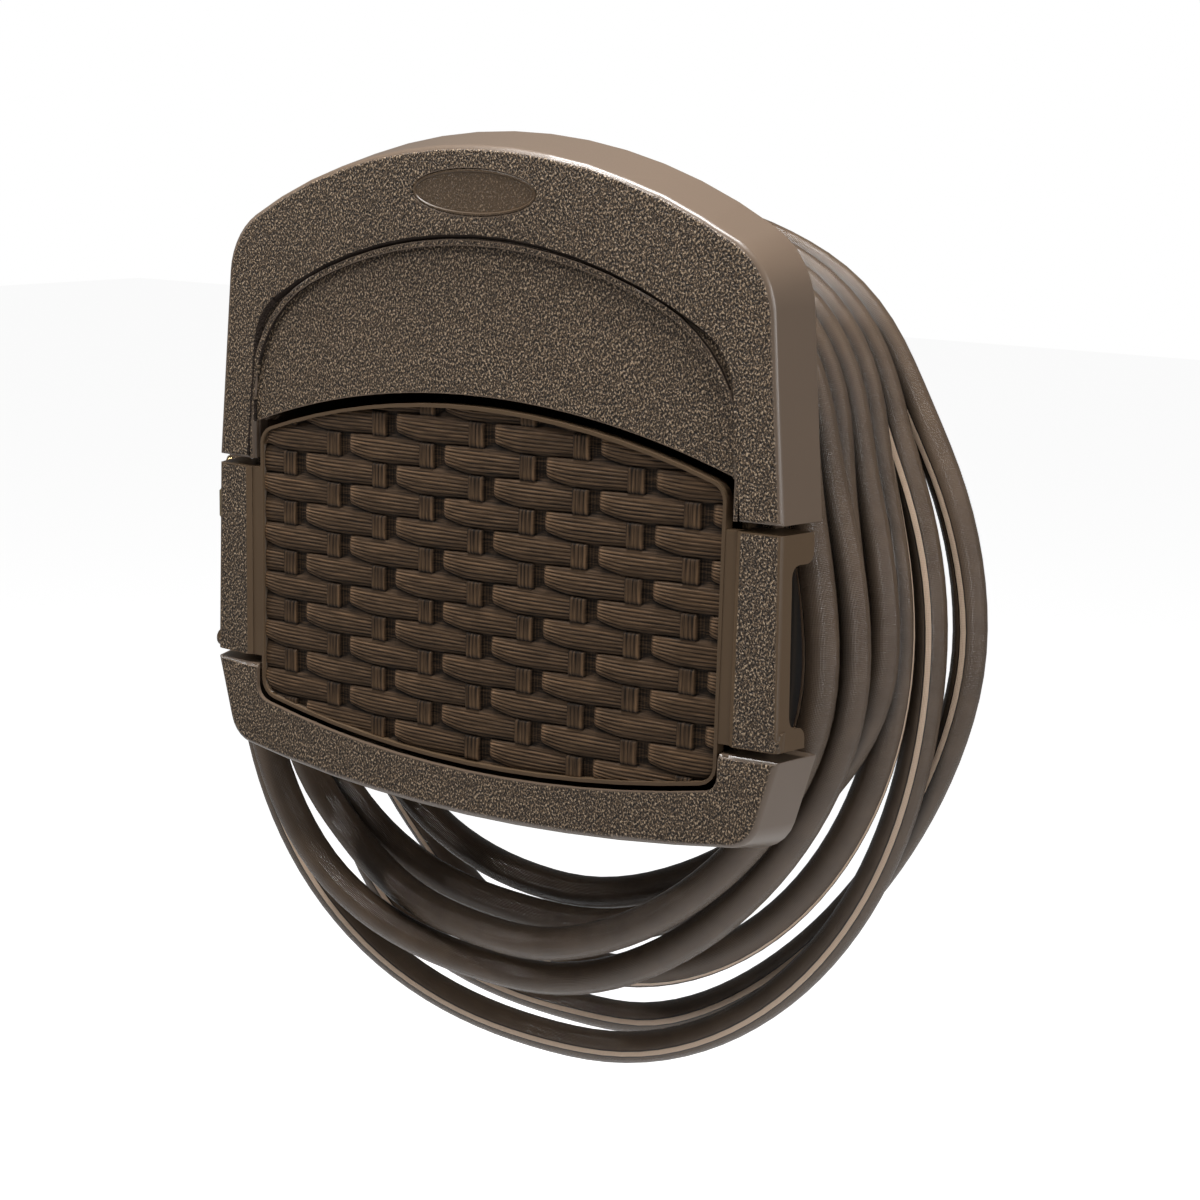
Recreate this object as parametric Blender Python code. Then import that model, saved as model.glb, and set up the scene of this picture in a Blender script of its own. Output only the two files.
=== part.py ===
"""Wall hose hanger: a moulded front frame and a hollow hub on a wall plate, a tilt-out woven door
with its storage bin, and a garden hose wound over the hub. Metres, +Z up, wall plane at Y = 0."""

import math

import bmesh
import bpy
import numpy as np
from mathutils import Matrix, Vector

# Running and seating gaps
SEAT_GAP = 0.0003
PIN_CLEARANCE = 0.0003

# Front frame, seen from the front
FRAME_TOP = 0.2310
FRAME_TOP_RADIUS = 0.3000
FRAME_SHOULDER_Z = 0.1460
FRAME_SHOULDER_HALF = 0.1735
FRAME_SHOULDER_RADIUS = 0.0420
FRAME_WAIST_HALF = 0.1815
FRAME_HIP_HALF = 0.1845
FRAME_FOOT_Z = -0.0990
FRAME_FOOT_HALF = 0.1755
FRAME_FOOT_RADIUS = 0.0180
FRAME_BOTTOM = -0.1266
FRAME_BOTTOM_RADIUS = 1.0750
FRAME_WALL = 0.0030
FRAME_DEPTH = 0.0370
FRAME_FLARE = 0.0070
FRAME_FILLET = 0.0040
FACE_SWEEP = 0.0086
SWEEP_STRIP = 0.0460

# Sunk arch on the hood
ARCH_TOP = 0.1835
ARCH_TOP_RADIUS = 0.2500
ARCH_SHOULDER_Z = 0.1130
ARCH_SHOULDER_HALF = 0.1510
ARCH_FOOT_HALF = 0.1575
ARCH_CORNER = 0.0340
ARCH_STEP = 0.0040
ARCH_SLOPE = 0.0020

# Gaps between the frame and the door's side grips
GRIP_TOP = 0.0485
GRIP_BOTTOM = -0.0610
GRIP_INNER = 0.1570
NOTCH = 0.0050
EDGE_CHAMFER = 0.0025
GRIP_END_WALL = 0.0022
GRIP_TAB_TOP_DEPTH = 0.0307
GRIP_TAB_BOTTOM_DEPTH = 0.0256
GRIP_REACH_DEPTH = 0.0110
GRIP_CUT_TOP = 0.0330
GRIP_CUT_BOTTOM = -0.0500
GRIP_CUT_RADIUS = 0.0060

# Woven panel and the door that frames it
PANEL_HALF = 0.1480
PANEL_TOP = 0.0945
PANEL_TOP_RADIUS = 0.4330
PANEL_BOTTOM = -0.0960
PANEL_BOTTOM_RADIUS = 0.7380
PANEL_CORNER = 0.0090
PANEL_FACE_DEPTH = 0.0050
PANEL_BACK_DEPTH = 0.0077
PANEL_RIM = 0.0022
PANEL_RIM_DEPTH = 0.0028
DOOR_BACK_DEPTH = 0.0110
STAKE_COUNT = 9
STAKE_PITCH = 0.0320
STAKE_WIDTH = 0.0092
WEFT_PITCH = 0.01415
WEAVE_RELIEF = 0.0011
WEAVE_GROOVE = 0.0009
DOOR_GAP_TOP = 0.0045
DOOR_GAP_SIDE = 0.0018
DOOR_GAP_BOTTOM = 0.0028

# Hinge of the door
HINGE_DEPTH = 0.0136
HINGE_Z = -0.0555
HINGE_OPEN = 32.0
PIN_RADIUS = 0.0025
PIN_LENGTH = 0.0200
EAR_THICK = 0.0070
EAR_HALF = 0.0040
EAR_ROOM = 0.0005
WEB_THICK = 0.0025
BOSS_RADIUS = 0.0050

# Side posts of the frame, behind the grips
POST_FRONT_DEPTH = 0.0270
POST_WIDTH = 0.0070
POST_GAP = 0.0040
POST_ROOM = 0.0032

# Hub
HUB_HALF = 0.1570
HUB_TOP = 0.1830
HUB_TOP_RADIUS = 0.2550
HUB_SHOULDER_RADIUS = 0.0800
HUB_FLOOR = -0.1080
HUB_FLOOR_RADIUS = 2.0000
HUB_CORNER = 0.0170
HUB_WALL = 0.0032
HUB_FRONT_DEPTH = 0.0190
STOP_THICK = 0.0060
STOP_WIDTH = 0.0160

# Wall plate
PLATE_THICK = 0.0045
PLATE_LIP = 0.0100
PLATE_RIB = 0.0030
PLATE_RIB_HEIGHT = 0.0070
PLATE_RIB_X = 0.0600
PLATE_RIB_LEVELS = (0.0850, 0.0, -0.0450)
PLATE_RIB_MARGIN = 0.0120

# Storage bin on the back of the door
BIN_HALF = 0.1220
BIN_TOP = 0.0440
BIN_REAR_TOP = 0.0200
BIN_BOTTOM = -0.0780
BIN_REAR_DEPTH = 0.1180
BIN_HEEL_DEPTH = 0.0980
BIN_HEEL_Z = -0.0620
BIN_WALL = 0.0025
BIN_LIP = 0.0040
BIN_FRONT_DEPTH = 0.0142

# Screws
SCREW_RADIUS = 0.0018
SCREW_HEAD_RADIUS = 0.0036
SCREW_HEAD = 0.0022
SCREW_BOSS_RADIUS = 0.0048
BOSS_SINK = 0.0008
PANEL_BOSS_RADIUS = 0.0043
PILOT_FLOOR = 0.0025
SIDE_LUG_Z = 0.0800
LUG_DEPTH = 0.0040
SCREW_HOLE = SCREW_RADIUS + PIN_CLEARANCE
WALL_HOLE_RADIUS = 0.0031
WALL_HOLE_X = 0.1000
WALL_HOLE_TOP = 0.1150
WALL_HOLE_BOTTOM = -0.0750

# Garden hose, wound over the hub; one value per turn where a row holds several
HOSE_RADIUS = 0.0095
HOSE_PITCH = 0.0198
HOSE_SIDE_GAP = 0.0015
HOSE_TOP_GAP = 0.0022
HOSE_STEPS = 24
HOSE_LANES = (1, 0, 2, 3, 4, 6, 5)
HOSE_DROPS = (0.2410, 0.2135, 0.2120, 0.2005, 0.2540, 0.3000, 0.3030)
HOSE_RIGHT = (0.1955, 0.1870, 0.1840, 0.1935, 0.1930, 0.2185, 0.2035)
HOSE_LEFT = (0.2400, 0.1930, 0.2030, 0.2030, 0.1850, 0.2150, 0.2170)
HOSE_RIGHT_ROUNDING = (1.70, 1.70, 1.95, 1.65, 1.95, 1.65, 2.00)
HOSE_LEFT_ROUNDING = (2.40, 3.00, 3.00, 2.60, 2.30, 2.90, 2.40)
HOSE_LEVEL = -0.0350
HOSE_SPREAD = 0.97
HOSE_MERGE = 30
HOSE_BEND_WEIGHT = 0.15
LANE_SHIFT = (1.45 * math.pi, 1.75 * math.pi)
START_SHIFT = (0.02 * math.pi, 0.24 * math.pi)
END_SHIFT = (1.15 * math.pi, 1.90 * math.pi)
JOINT_DEPTH = 0.0960
JOINT_Z = 0.0050

# Hose couplings
NUT_RADIUS = 0.0155
NUT_LENGTH = 0.0200
THREAD_RADIUS = 0.0132
THREAD_LENGTH = 0.0120
SHOULDER_RADIUS = 0.0125
SHOULDER_LENGTH = 0.0050
FERRULE_RADIUS = 0.0118
FERRULE_LENGTH = 0.0180
STEM_RADIUS = 0.0070
WASHER_BORE = 0.0075
WASHER_RUBBER = 0.0030

DEPTH = (
    FRAME_DEPTH + HOSE_SIDE_GAP + 2 * HOSE_RADIUS + (len(HOSE_LANES) - 1) * HOSE_PITCH
    + HOSE_SIDE_GAP + PLATE_THICK
)
PLATE_FRONT_DEPTH = DEPTH - PLATE_THICK
BOW = FACE_SWEEP / FRAME_HIP_HALF ** 2

RESIN = ((0.115, 0.088, 0.066), 0.55, 0.0)
RESIN_DARK = ((0.085, 0.064, 0.047), 0.60, 0.0)
HOSE_VINYL = ((0.120, 0.095, 0.075), 0.38, 0.0)
STEEL = ((0.55, 0.54, 0.52), 0.35, 1.0)
BRASS = ((0.72, 0.55, 0.28), 0.32, 1.0)
RUBBER = ((0.03, 0.03, 0.03), 0.80, 0.0)


# Materials and objects


def material(name, finish):
    colour, roughness, metallic = finish
    made = bpy.data.materials.new(name)
    made.use_nodes = True
    shader = made.node_tree.nodes["Principled BSDF"]
    shader.inputs["Base Color"].default_value = (*colour, 1.0)
    shader.inputs["Roughness"].default_value = roughness
    shader.inputs["Metallic"].default_value = metallic
    return made


def to_mesh(bm, name):
    mesh = bpy.data.meshes.new(name)
    bm.to_mesh(mesh)
    bm.free()
    return mesh


def from_mesh(mesh):
    bm = bmesh.new()
    bm.from_mesh(mesh)
    return bm


def place(bm, name, finish, origin=(0.0, 0.0, 0.0)):
    """One finished piece: its mesh about its own origin, shaded smooth with crisp edges."""
    bmesh.ops.translate(bm, vec=-Vector(origin), verts=bm.verts)
    mesh = to_mesh(bm, name)
    mesh.shade_smooth()
    mesh.set_sharp_from_angle(angle=math.radians(35))
    mesh.materials.append(material(name + "_finish", finish))
    piece = bpy.data.objects.new(name, mesh)
    piece.location = origin
    bpy.context.scene.collection.objects.link(piece)
    return piece


def combine(bm, steps):
    """Boolean steps on a solid: a list of (operation, tool)."""
    for operation, tool in steps:
        base = bpy.data.objects.new("base", to_mesh(bm, "base"))
        cutter = bpy.data.objects.new("tool", to_mesh(tool, "tool"))
        for item in (base, cutter):
            bpy.context.scene.collection.objects.link(item)
        modifier = base.modifiers.new("cut", "BOOLEAN")
        modifier.operation = operation
        modifier.object = cutter
        modifier.solver = "EXACT"
        shown = base.evaluated_get(bpy.context.evaluated_depsgraph_get())
        bm = from_mesh(bpy.data.meshes.new_from_object(shown))
        for item in (base, cutter):
            mesh = item.data
            bpy.data.objects.remove(item)
            bpy.data.meshes.remove(mesh)
    bmesh.ops.remove_doubles(bm, verts=bm.verts, dist=1e-6)
    bmesh.ops.dissolve_degenerate(bm, edges=bm.edges, dist=1e-6)
    return bm


def cut(*tools):
    return [("DIFFERENCE", tool) for tool in tools]


def add(*tools):
    return [("UNION", tool) for tool in tools]


# Outlines in the front view, as (x, z) points from the top centre, clockwise


def arc_points(centre, radius, start, end, count):
    """Points on a circle; angles run from straight up towards +X."""
    angles = np.linspace(start, end, count)
    return [(centre[0] + radius * math.sin(a), centre[1] + radius * math.cos(a)) for a in angles]


def arched_corner(top, radius, near, far, corner, counts):
    """Half of an arched edge whose end turns through a corner arc into a side line."""
    start, end = Vector(near), Vector(far)
    along = (end - start).normalized()
    inward = Vector((along.y, -along.x))
    crown = Vector((0.0, top - radius))
    offset = start + inward * corner - crown
    half = offset.dot(along)
    reach = half * half - (offset.length_squared - (radius - corner) ** 2)
    centre = start + inward * corner + along * (-half - math.sqrt(reach))
    towards = (centre - crown).normalized()
    turn = math.atan2(towards.x, towards.y)
    last = math.atan2(-inward.x, -inward.y)
    points = arc_points(crown, radius, 0.0, turn, counts[0])
    return points + arc_points(centre, corner, turn, last, counts[1])[1:]


def arched_outline(top, top_radius, bottom, bottom_radius, side, corners, counts):
    """Closed outline with an arched top and bottom; side is the right-hand line, top to bottom."""
    upper = arched_corner(top, top_radius, side[0], side[1], corners[0], counts[:2])
    flipped = [(x, -z) for x, z in side]
    lower = arched_corner(
        -bottom, bottom_radius, flipped[-1], flipped[-2], corners[1], counts[2:]
    )
    right = upper + list(side[1:-1]) + [(x, -z) for x, z in reversed(lower)]
    left = [(-x, z) for x, z in reversed(right[1:-1])]
    return right + left


def widened(outline, distance):
    """The outline moved outwards by a distance, point by point."""
    points = np.array(outline)
    before, after = np.roll(points, 1, axis=0), np.roll(points, -1, axis=0)
    first, second = points - before, after - points
    normals = []
    for edge in (first, second):
        unit = edge / np.linalg.norm(edge, axis=1)[:, None]
        normals.append(np.stack([-unit[:, 1], unit[:, 0]], axis=1))
    share = 1.0 + (normals[0] * normals[1]).sum(axis=1)
    moved = points + distance * (normals[0] + normals[1]) / share[:, None]
    return [tuple(p) for p in moved]


def frame_outline():
    notch_top = GRIP_TOP + NOTCH
    notch_bottom = GRIP_BOTTOM - NOTCH
    side = [
        (FRAME_SHOULDER_HALF, FRAME_SHOULDER_Z),
        (FRAME_WAIST_HALF, notch_top),
        (FRAME_HIP_HALF, notch_bottom),
        (FRAME_FOOT_HALF, FRAME_FOOT_Z),
    ]
    return arched_outline(
        FRAME_TOP, FRAME_TOP_RADIUS, FRAME_BOTTOM, FRAME_BOTTOM_RADIUS, side,
        (FRAME_SHOULDER_RADIUS, FRAME_FOOT_RADIUS), (8, 8, 6, 6),
    )


def sunk_arch_outline():
    foot = GRIP_TOP
    side = [
        (ARCH_SHOULDER_HALF, ARCH_SHOULDER_Z),
        (ARCH_FOOT_HALF, foot),
    ]
    half = arched_corner(ARCH_TOP, ARCH_TOP_RADIUS, side[0], side[1], ARCH_CORNER, (8, 7))
    right = half + [side[1]]
    return right + [(-x, z) for x, z in reversed(right[1:])]


def panel_outline(margin_top=0.0, margin_side=0.0, margin_bottom=0.0, corner=PANEL_CORNER):
    half = PANEL_HALF + margin_side
    side = [(half, 0.03), (half, -0.03)]
    return arched_outline(
        PANEL_TOP + margin_top, PANEL_TOP_RADIUS, PANEL_BOTTOM - margin_bottom,
        PANEL_BOTTOM_RADIUS, side, (corner, corner), (9, 5, 7, 5),
    )


def hub_outline():
    side = [(HUB_HALF, GRIP_TOP), (HUB_HALF, GRIP_BOTTOM)]
    return arched_outline(
        HUB_TOP, HUB_TOP_RADIUS, HUB_FLOOR, HUB_FLOOR_RADIUS, side,
        (HUB_SHOULDER_RADIUS, HUB_CORNER), (8, 9, 2, 5),
    )


def box_outline(x0, z0, x1, z1):
    return [(x0, z1), (x1, z1), (x1, z0), (x0, z0)]


# Solids; depth runs from the front plane back to the wall


def loft(rings):
    """A closed solid through like outlines, each at its depth."""
    bm = bmesh.new()
    loops = []
    for outline, depth in rings:
        loops.append([bm.verts.new((x, depth - DEPTH, z)) for x, z in outline])
    count = len(loops[0])
    for ring, following in zip(loops, loops[1:]):
        for i in range(count):
            j = (i + 1) % count
            bm.faces.new((ring[i], ring[j], following[j], following[i]))
    bm.faces.new(loops[0])
    bm.faces.new(loops[-1])
    bmesh.ops.recalc_face_normals(bm, faces=bm.faces)
    return bm


def prism(outline, front, back):
    return loft([(outline, front), (outline, back)])


def box(x0, x1, front, back, z0, z1):
    return prism(box_outline(min(x0, x1), z0, max(x0, x1), z1), front, back)


def chamfered_box(x0, x1, front, back, z0, z1):
    """A cutter that opens out by the edge chamfer where it breaks through the front."""
    inner = box_outline(min(x0, x1), z0, max(x0, x1), z1)
    outer = box_outline(
        min(x0, x1) - EDGE_CHAMFER, z0 - EDGE_CHAMFER, max(x0, x1) + EDGE_CHAMFER, z1 + EDGE_CHAMFER
    )
    return loft([(outer, front), (outer, 0.0), (inner, EDGE_CHAMFER), (inner, back)])


def cylinder(centre, axis, radius, start, end, sides=16):
    """A round bar along X or along the depth, between two stations on that axis."""
    bm = bmesh.new()
    bmesh.ops.create_cone(
        bm, cap_ends=True, segments=sides, radius1=radius, radius2=radius, depth=end - start
    )
    middle = (start + end) / 2
    if axis == "X":
        turn = Matrix.Rotation(math.radians(90), 4, "Y")
        spot = Vector((middle, centre[0] - DEPTH, centre[1]))
    else:
        turn = Matrix.Rotation(math.radians(90), 4, "X")
        spot = Vector((centre[0], middle - DEPTH, centre[1]))
    bmesh.ops.transform(bm, matrix=Matrix.Translation(spot) @ turn, verts=bm.verts)
    bmesh.ops.recalc_face_normals(bm, faces=bm.faces)
    return bm


def sweep_shift(x, depth, fade=FRAME_DEPTH):
    """How far the swept face lies back from its flat layout, strip by straight strip."""
    share = abs(x) / SWEEP_STRIP
    low = math.floor(share)
    ends = [(SWEEP_STRIP * knot) ** 2 for knot in (low, low + 1)]
    square = ends[0] + (ends[1] - ends[0]) * (share - low)
    return BOW * square * max(0.0, 1.0 - depth / fade)


def swept(bm, fade=FRAME_DEPTH):
    """Bend a solid laid out flat to the face's sweep, after cutting it into upright strips."""
    reach = math.ceil(FRAME_HIP_HALF / SWEEP_STRIP)
    for i in range(-reach, reach + 1):
        bmesh.ops.bisect_plane(
            bm, geom=bm.verts[:] + bm.edges[:] + bm.faces[:], dist=1e-7,
            plane_co=(i * SWEEP_STRIP, 0.0, 0.0), plane_no=(1.0, 0.0, 0.0),
        )
    bmesh.ops.triangulate(bm, faces=bm.faces)
    for vertex in bm.verts:
        vertex.co.y += sweep_shift(vertex.co.x, vertex.co.y + DEPTH, fade)
    return bm


def both(make):
    """The right-hand solid and its mirror on the left."""
    return make(1), make(-1)


def rounded_shell_rings(outline, wall=0.0):
    """Rings of the frame's flared skirt with its rounded front edge, or of the hollow inside it."""
    if wall:
        back = FRAME_DEPTH + 2 * wall
        flare = FRAME_FLARE * back / FRAME_DEPTH
        return [(widened(outline, -wall), wall), (widened(outline, flare - wall), back)]
    rings = []
    for step in range(4):
        turn = math.radians(30 * step)
        inset = FRAME_FILLET * (1 - math.sin(turn))
        rings.append((widened(outline, -inset), FRAME_FILLET * (1 - math.cos(turn))))
    return rings + [(widened(outline, FRAME_FLARE), FRAME_DEPTH)]


def screw_lugs():
    """Where the hub is screwed to the frame: (x, z) of each lug, the last pair outside the hub."""
    inside = HUB_WALL + SCREW_BOSS_RADIUS - BOSS_SINK
    crown_x = 0.4 * HUB_HALF
    crown_z = HUB_TOP - HUB_TOP_RADIUS + math.sqrt(
        (HUB_TOP_RADIUS - inside) ** 2 - crown_x ** 2
    )
    side = HUB_HALF - inside
    lugs = [(crown_x, crown_z), (side, SIDE_LUG_Z)]
    lugs.append((HUB_HALF + SCREW_BOSS_RADIUS - BOSS_SINK, GRIP_BOTTOM - NOTCH - 4 * SCREW_BOSS_RADIUS))
    return lugs + [(-x, z) for x, z in lugs]


def bin_screws():
    x, high, low = 0.75 * BIN_HALF, BIN_TOP - 0.018, BIN_BOTTOM + 0.030
    return [(sx * x, z) for sx in (1, -1) for z in (high, low)]


def panel_screws():
    spots = [(0.0, PANEL_TOP - 0.012), (0.0, PANEL_BOTTOM + 0.010)]
    for side in (1, -1):
        spots.append((side * 0.72 * PANEL_HALF, PANEL_TOP - 0.029))
        spots.append((side * 0.62 * PANEL_HALF, PANEL_BOTTOM + 0.0145))
    return spots


def wall_holes():
    return [(s * WALL_HOLE_X, z) for s in (1, -1) for z in (WALL_HOLE_TOP, WALL_HOLE_BOTTOM)]


def plate_screws():
    """Where the hub's rear lugs are screwed to the wall plate."""
    side = HUB_HALF - HUB_WALL - SCREW_BOSS_RADIUS + BOSS_SINK
    return [(s * side, z) for s in (1, -1) for z in (GRIP_TOP, GRIP_BOTTOM)]


# Front frame


def post_sides():
    """Inner and outer face of the posts, from the centre."""
    inner = HUB_HALF + POST_GAP
    return inner, inner + POST_WIDTH


def hinge_bore(sign, start, end):
    """Clearance hole for a hinge pin between two stations out from the centre."""
    ends = sorted((sign * start, sign * end))
    return cylinder((HINGE_DEPTH, HINGE_Z), "X", PIN_RADIUS + PIN_CLEARANCE, *ends)


def build_collar():
    """Short wall behind the face that the hub's front edge is screwed against."""
    hub = hub_outline()
    back = HUB_FRONT_DEPTH - SEAT_GAP
    opening = panel_outline(
        PANEL_RIM + DOOR_GAP_TOP, PANEL_RIM + DOOR_GAP_SIDE, PANEL_RIM + DOOR_GAP_BOTTOM
    )
    collar = combine(
        prism(hub, FRAME_WALL / 2, back),
        cut(
            prism(widened(hub, -HUB_WALL), -0.001, back + 0.001),
            prism(opening, -0.001, back + 0.001),
            box(-HUB_HALF - 0.001, HUB_HALF + 0.001, -0.001, back + 0.001,
                GRIP_BOTTOM - NOTCH, GRIP_TOP + NOTCH),
        ),
    )
    return swept(collar, back)


def build_face():
    """The moulded face with its flared skirt, sunk arch, door opening and notches."""
    outline = frame_outline()
    arch = sunk_arch_outline()
    notch_top, notch_bottom = GRIP_TOP + NOTCH, GRIP_BOTTOM - NOTCH
    wide = FRAME_HIP_HALF + 2 * FRAME_FLARE

    def end_wall(low, high):
        slab = box(-wide, wide, -0.001, FRAME_DEPTH + 0.001, low, high)
        return combine(loft(rounded_shell_rings(outline)), [("INTERSECT", slab)])

    opening = panel_outline(
        PANEL_RIM + DOOR_GAP_TOP, PANEL_RIM + DOOR_GAP_SIDE, PANEL_RIM + DOOR_GAP_BOTTOM
    )
    face = combine(
        loft(rounded_shell_rings(outline)),
        cut(loft(rounded_shell_rings(outline, FRAME_WALL)))
        + add(
            prism(widened(arch, FRAME_WALL), FRAME_WALL / 2, ARCH_STEP + FRAME_WALL),
            end_wall(notch_top - 0.0005, notch_top + FRAME_WALL),
            end_wall(notch_bottom - FRAME_WALL, notch_bottom + 0.0005),
        )
        + cut(
            loft([(widened(arch, ARCH_SLOPE), -0.001), (widened(arch, ARCH_SLOPE), 0.0),
                  (arch, ARCH_STEP)]),
            prism(opening, -0.001, FRAME_DEPTH + 0.001),
        )
        + cut(*both(lambda s: chamfered_box(
            s * PANEL_HALF, s * wide, -0.001, FRAME_DEPTH + 0.002, notch_bottom, notch_top))),
    )
    return swept(face)


def build_front_frame():
    post_in, post_out = post_sides()
    post_back = FRAME_DEPTH - SEAT_GAP
    top, bottom = GRIP_TOP + NOTCH + FRAME_WALL / 2, GRIP_BOTTOM - NOTCH - FRAME_WALL / 2

    def post(s):
        return box(s * post_in, s * post_out, POST_FRONT_DEPTH, post_back, bottom, top)

    def ear(s):
        return box(s * post_in, s * (post_in + EAR_THICK), HINGE_DEPTH, POST_FRONT_DEPTH + 0.001,
                   HINGE_Z - EAR_HALF, HINGE_Z + EAR_HALF)

    def knuckle(s):
        ends = sorted((s * post_in, s * (post_in + EAR_THICK)))
        return cylinder((HINGE_DEPTH, HINGE_Z), "X", BOSS_RADIUS, *ends)

    room = widened(hub_outline(), 2 * SEAT_GAP)
    frame = combine(
        build_face(),
        cut(prism(room, HUB_FRONT_DEPTH - SEAT_GAP, FRAME_DEPTH + 0.001))
        + add(build_collar())
        + add(*both(post)) + add(*both(ear)) + add(*both(knuckle))
        + cut(*both(lambda s: hinge_bore(s, post_in - 0.001, post_out + 0.001))),
    )
    bosses, pilots = [], []
    back = HUB_FRONT_DEPTH - SEAT_GAP
    for x, z in screw_lugs():
        floor = ARCH_STEP if z > GRIP_TOP else 0.0
        start = floor + FRAME_WALL / 2 + sweep_shift(x, floor)
        bosses.append(cylinder((x, z), "Y", SCREW_BOSS_RADIUS, start, back, 12))
        pilots.append(cylinder((x, z), "Y", SCREW_HOLE, start + PILOT_FLOOR, back + 0.001, 8))
    frame = combine(frame, add(*bosses) + cut(*pilots))
    return place(frame, "front_frame", RESIN)


# Door: grips and panel tray


def grip_side_cut(s):
    """Cutter for the finger opening in a grip's side wall, with its two S-shaped shoulders."""
    radius = GRIP_CUT_RADIUS
    back = FRAME_DEPTH + 0.01
    steps = [math.radians(a) for a in (0, 22.5, 45, 67.5, 90)]
    shape = [(back, GRIP_TOP + 0.01), (GRIP_TAB_TOP_DEPTH, GRIP_TOP + 0.01)]
    for a in steps:
        shape.append((GRIP_TAB_TOP_DEPTH - radius * (1 - math.cos(a)),
                      GRIP_CUT_TOP + radius * (1 - math.sin(a))))
    shape += [(GRIP_REACH_DEPTH + radius * (1 - math.sin(a)), GRIP_CUT_TOP - radius * (1 - math.cos(a)))
              for a in steps]
    shape += [(GRIP_REACH_DEPTH + radius * (1 - math.cos(a)), GRIP_CUT_BOTTOM + radius * (1 - math.sin(a)))
              for a in steps]
    shape += [(GRIP_TAB_BOTTOM_DEPTH - radius * (1 - math.sin(a)), GRIP_CUT_BOTTOM - radius * (1 - math.cos(a)))
              for a in steps]
    shape += [(GRIP_TAB_BOTTOM_DEPTH, GRIP_BOTTOM - 0.01), (back, GRIP_BOTTOM - 0.01)]
    bm = bmesh.new()
    near = s * (GRIP_INNER + 2 * FRAME_WALL)
    far = s * (FRAME_HIP_HALF + FRAME_FLARE + 0.02)
    loops = [[bm.verts.new((x, d - DEPTH, z)) for d, z in shape] for x in (near, far)]
    for i in range(len(shape)):
        j = (i + 1) % len(shape)
        bm.faces.new((loops[0][i], loops[0][j], loops[1][j], loops[1][i]))
    bm.faces.new(loops[0])
    bm.faces.new(loops[1])
    bmesh.ops.recalc_face_normals(bm, faces=bm.faces)
    return bm


def build_grips():
    """The two side grips: slices of the same flared skirt, hollow behind, open for the fingers."""
    outline = frame_outline()
    wide = FRAME_HIP_HALF + 2 * FRAME_FLARE
    post_in, post_out = post_sides()
    low, high = GRIP_BOTTOM + GRIP_END_WALL, GRIP_TOP - GRIP_END_WALL
    hollow = combine(
        loft(rounded_shell_rings(outline, FRAME_WALL)),
        [("INTERSECT", box(-wide, wide, 0.0, 2 * FRAME_DEPTH, low, high))],
    )

    def inner_hollow(s):
        return box(s * (GRIP_INNER + FRAME_WALL), s * (FRAME_WAIST_HALF - 2 * FRAME_WALL), FRAME_WALL,
                   2 * FRAME_DEPTH, low, high)

    def hub_room(s):
        return box(s * (GRIP_INNER - 0.001), s * (GRIP_INNER + FRAME_WALL + EAR_ROOM), DOOR_BACK_DEPTH,
                   2 * FRAME_DEPTH, GRIP_BOTTOM - 0.001, GRIP_TOP + 0.001)

    def post_room(s):
        return box(s * (post_in - EAR_ROOM), s * (post_out + EAR_ROOM), POST_FRONT_DEPTH - POST_ROOM,
                   2 * FRAME_DEPTH, GRIP_BOTTOM - 0.001, GRIP_TOP + 0.001)

    outside = chamfered_box(-GRIP_INNER, GRIP_INNER, -0.002, 2 * FRAME_DEPTH, -FRAME_TOP, FRAME_TOP)
    grips = combine(
        loft(rounded_shell_rings(outline)),
        cut(outside)
        + [("INTERSECT", box(-wide, wide, -0.001, FRAME_DEPTH, GRIP_BOTTOM, GRIP_TOP))]
        + cut(hollow)
        + cut(*both(inner_hollow)) + cut(*both(hub_room)) + cut(*both(post_room))
        + cut(*both(grip_side_cut)),
    )
    return grips


def build_tray():
    """Shallow tray behind the woven panel, with its rim and the flat strips to the grips."""
    side = GRIP_INNER + FRAME_WALL - EAR_ROOM
    rim = panel_outline(PANEL_RIM, PANEL_RIM, PANEL_RIM, PANEL_CORNER + PANEL_RIM)
    pocket = panel_outline(SEAT_GAP, SEAT_GAP, SEAT_GAP)
    holes = [cylinder((x, z), "Y", PANEL_BOSS_RADIUS + PIN_CLEARANCE, 0.0, 2 * DOOR_BACK_DEPTH, 12)
             for x, z in panel_screws()]
    return combine(
        prism(rim, PANEL_RIM_DEPTH, DOOR_BACK_DEPTH),
        add(box(-side, side, PANEL_RIM_DEPTH + 0.0004, DOOR_BACK_DEPTH, GRIP_BOTTOM, GRIP_TOP))
        + cut(prism(pocket, 0.0, PANEL_BACK_DEPTH + SEAT_GAP), *holes),
    )


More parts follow.
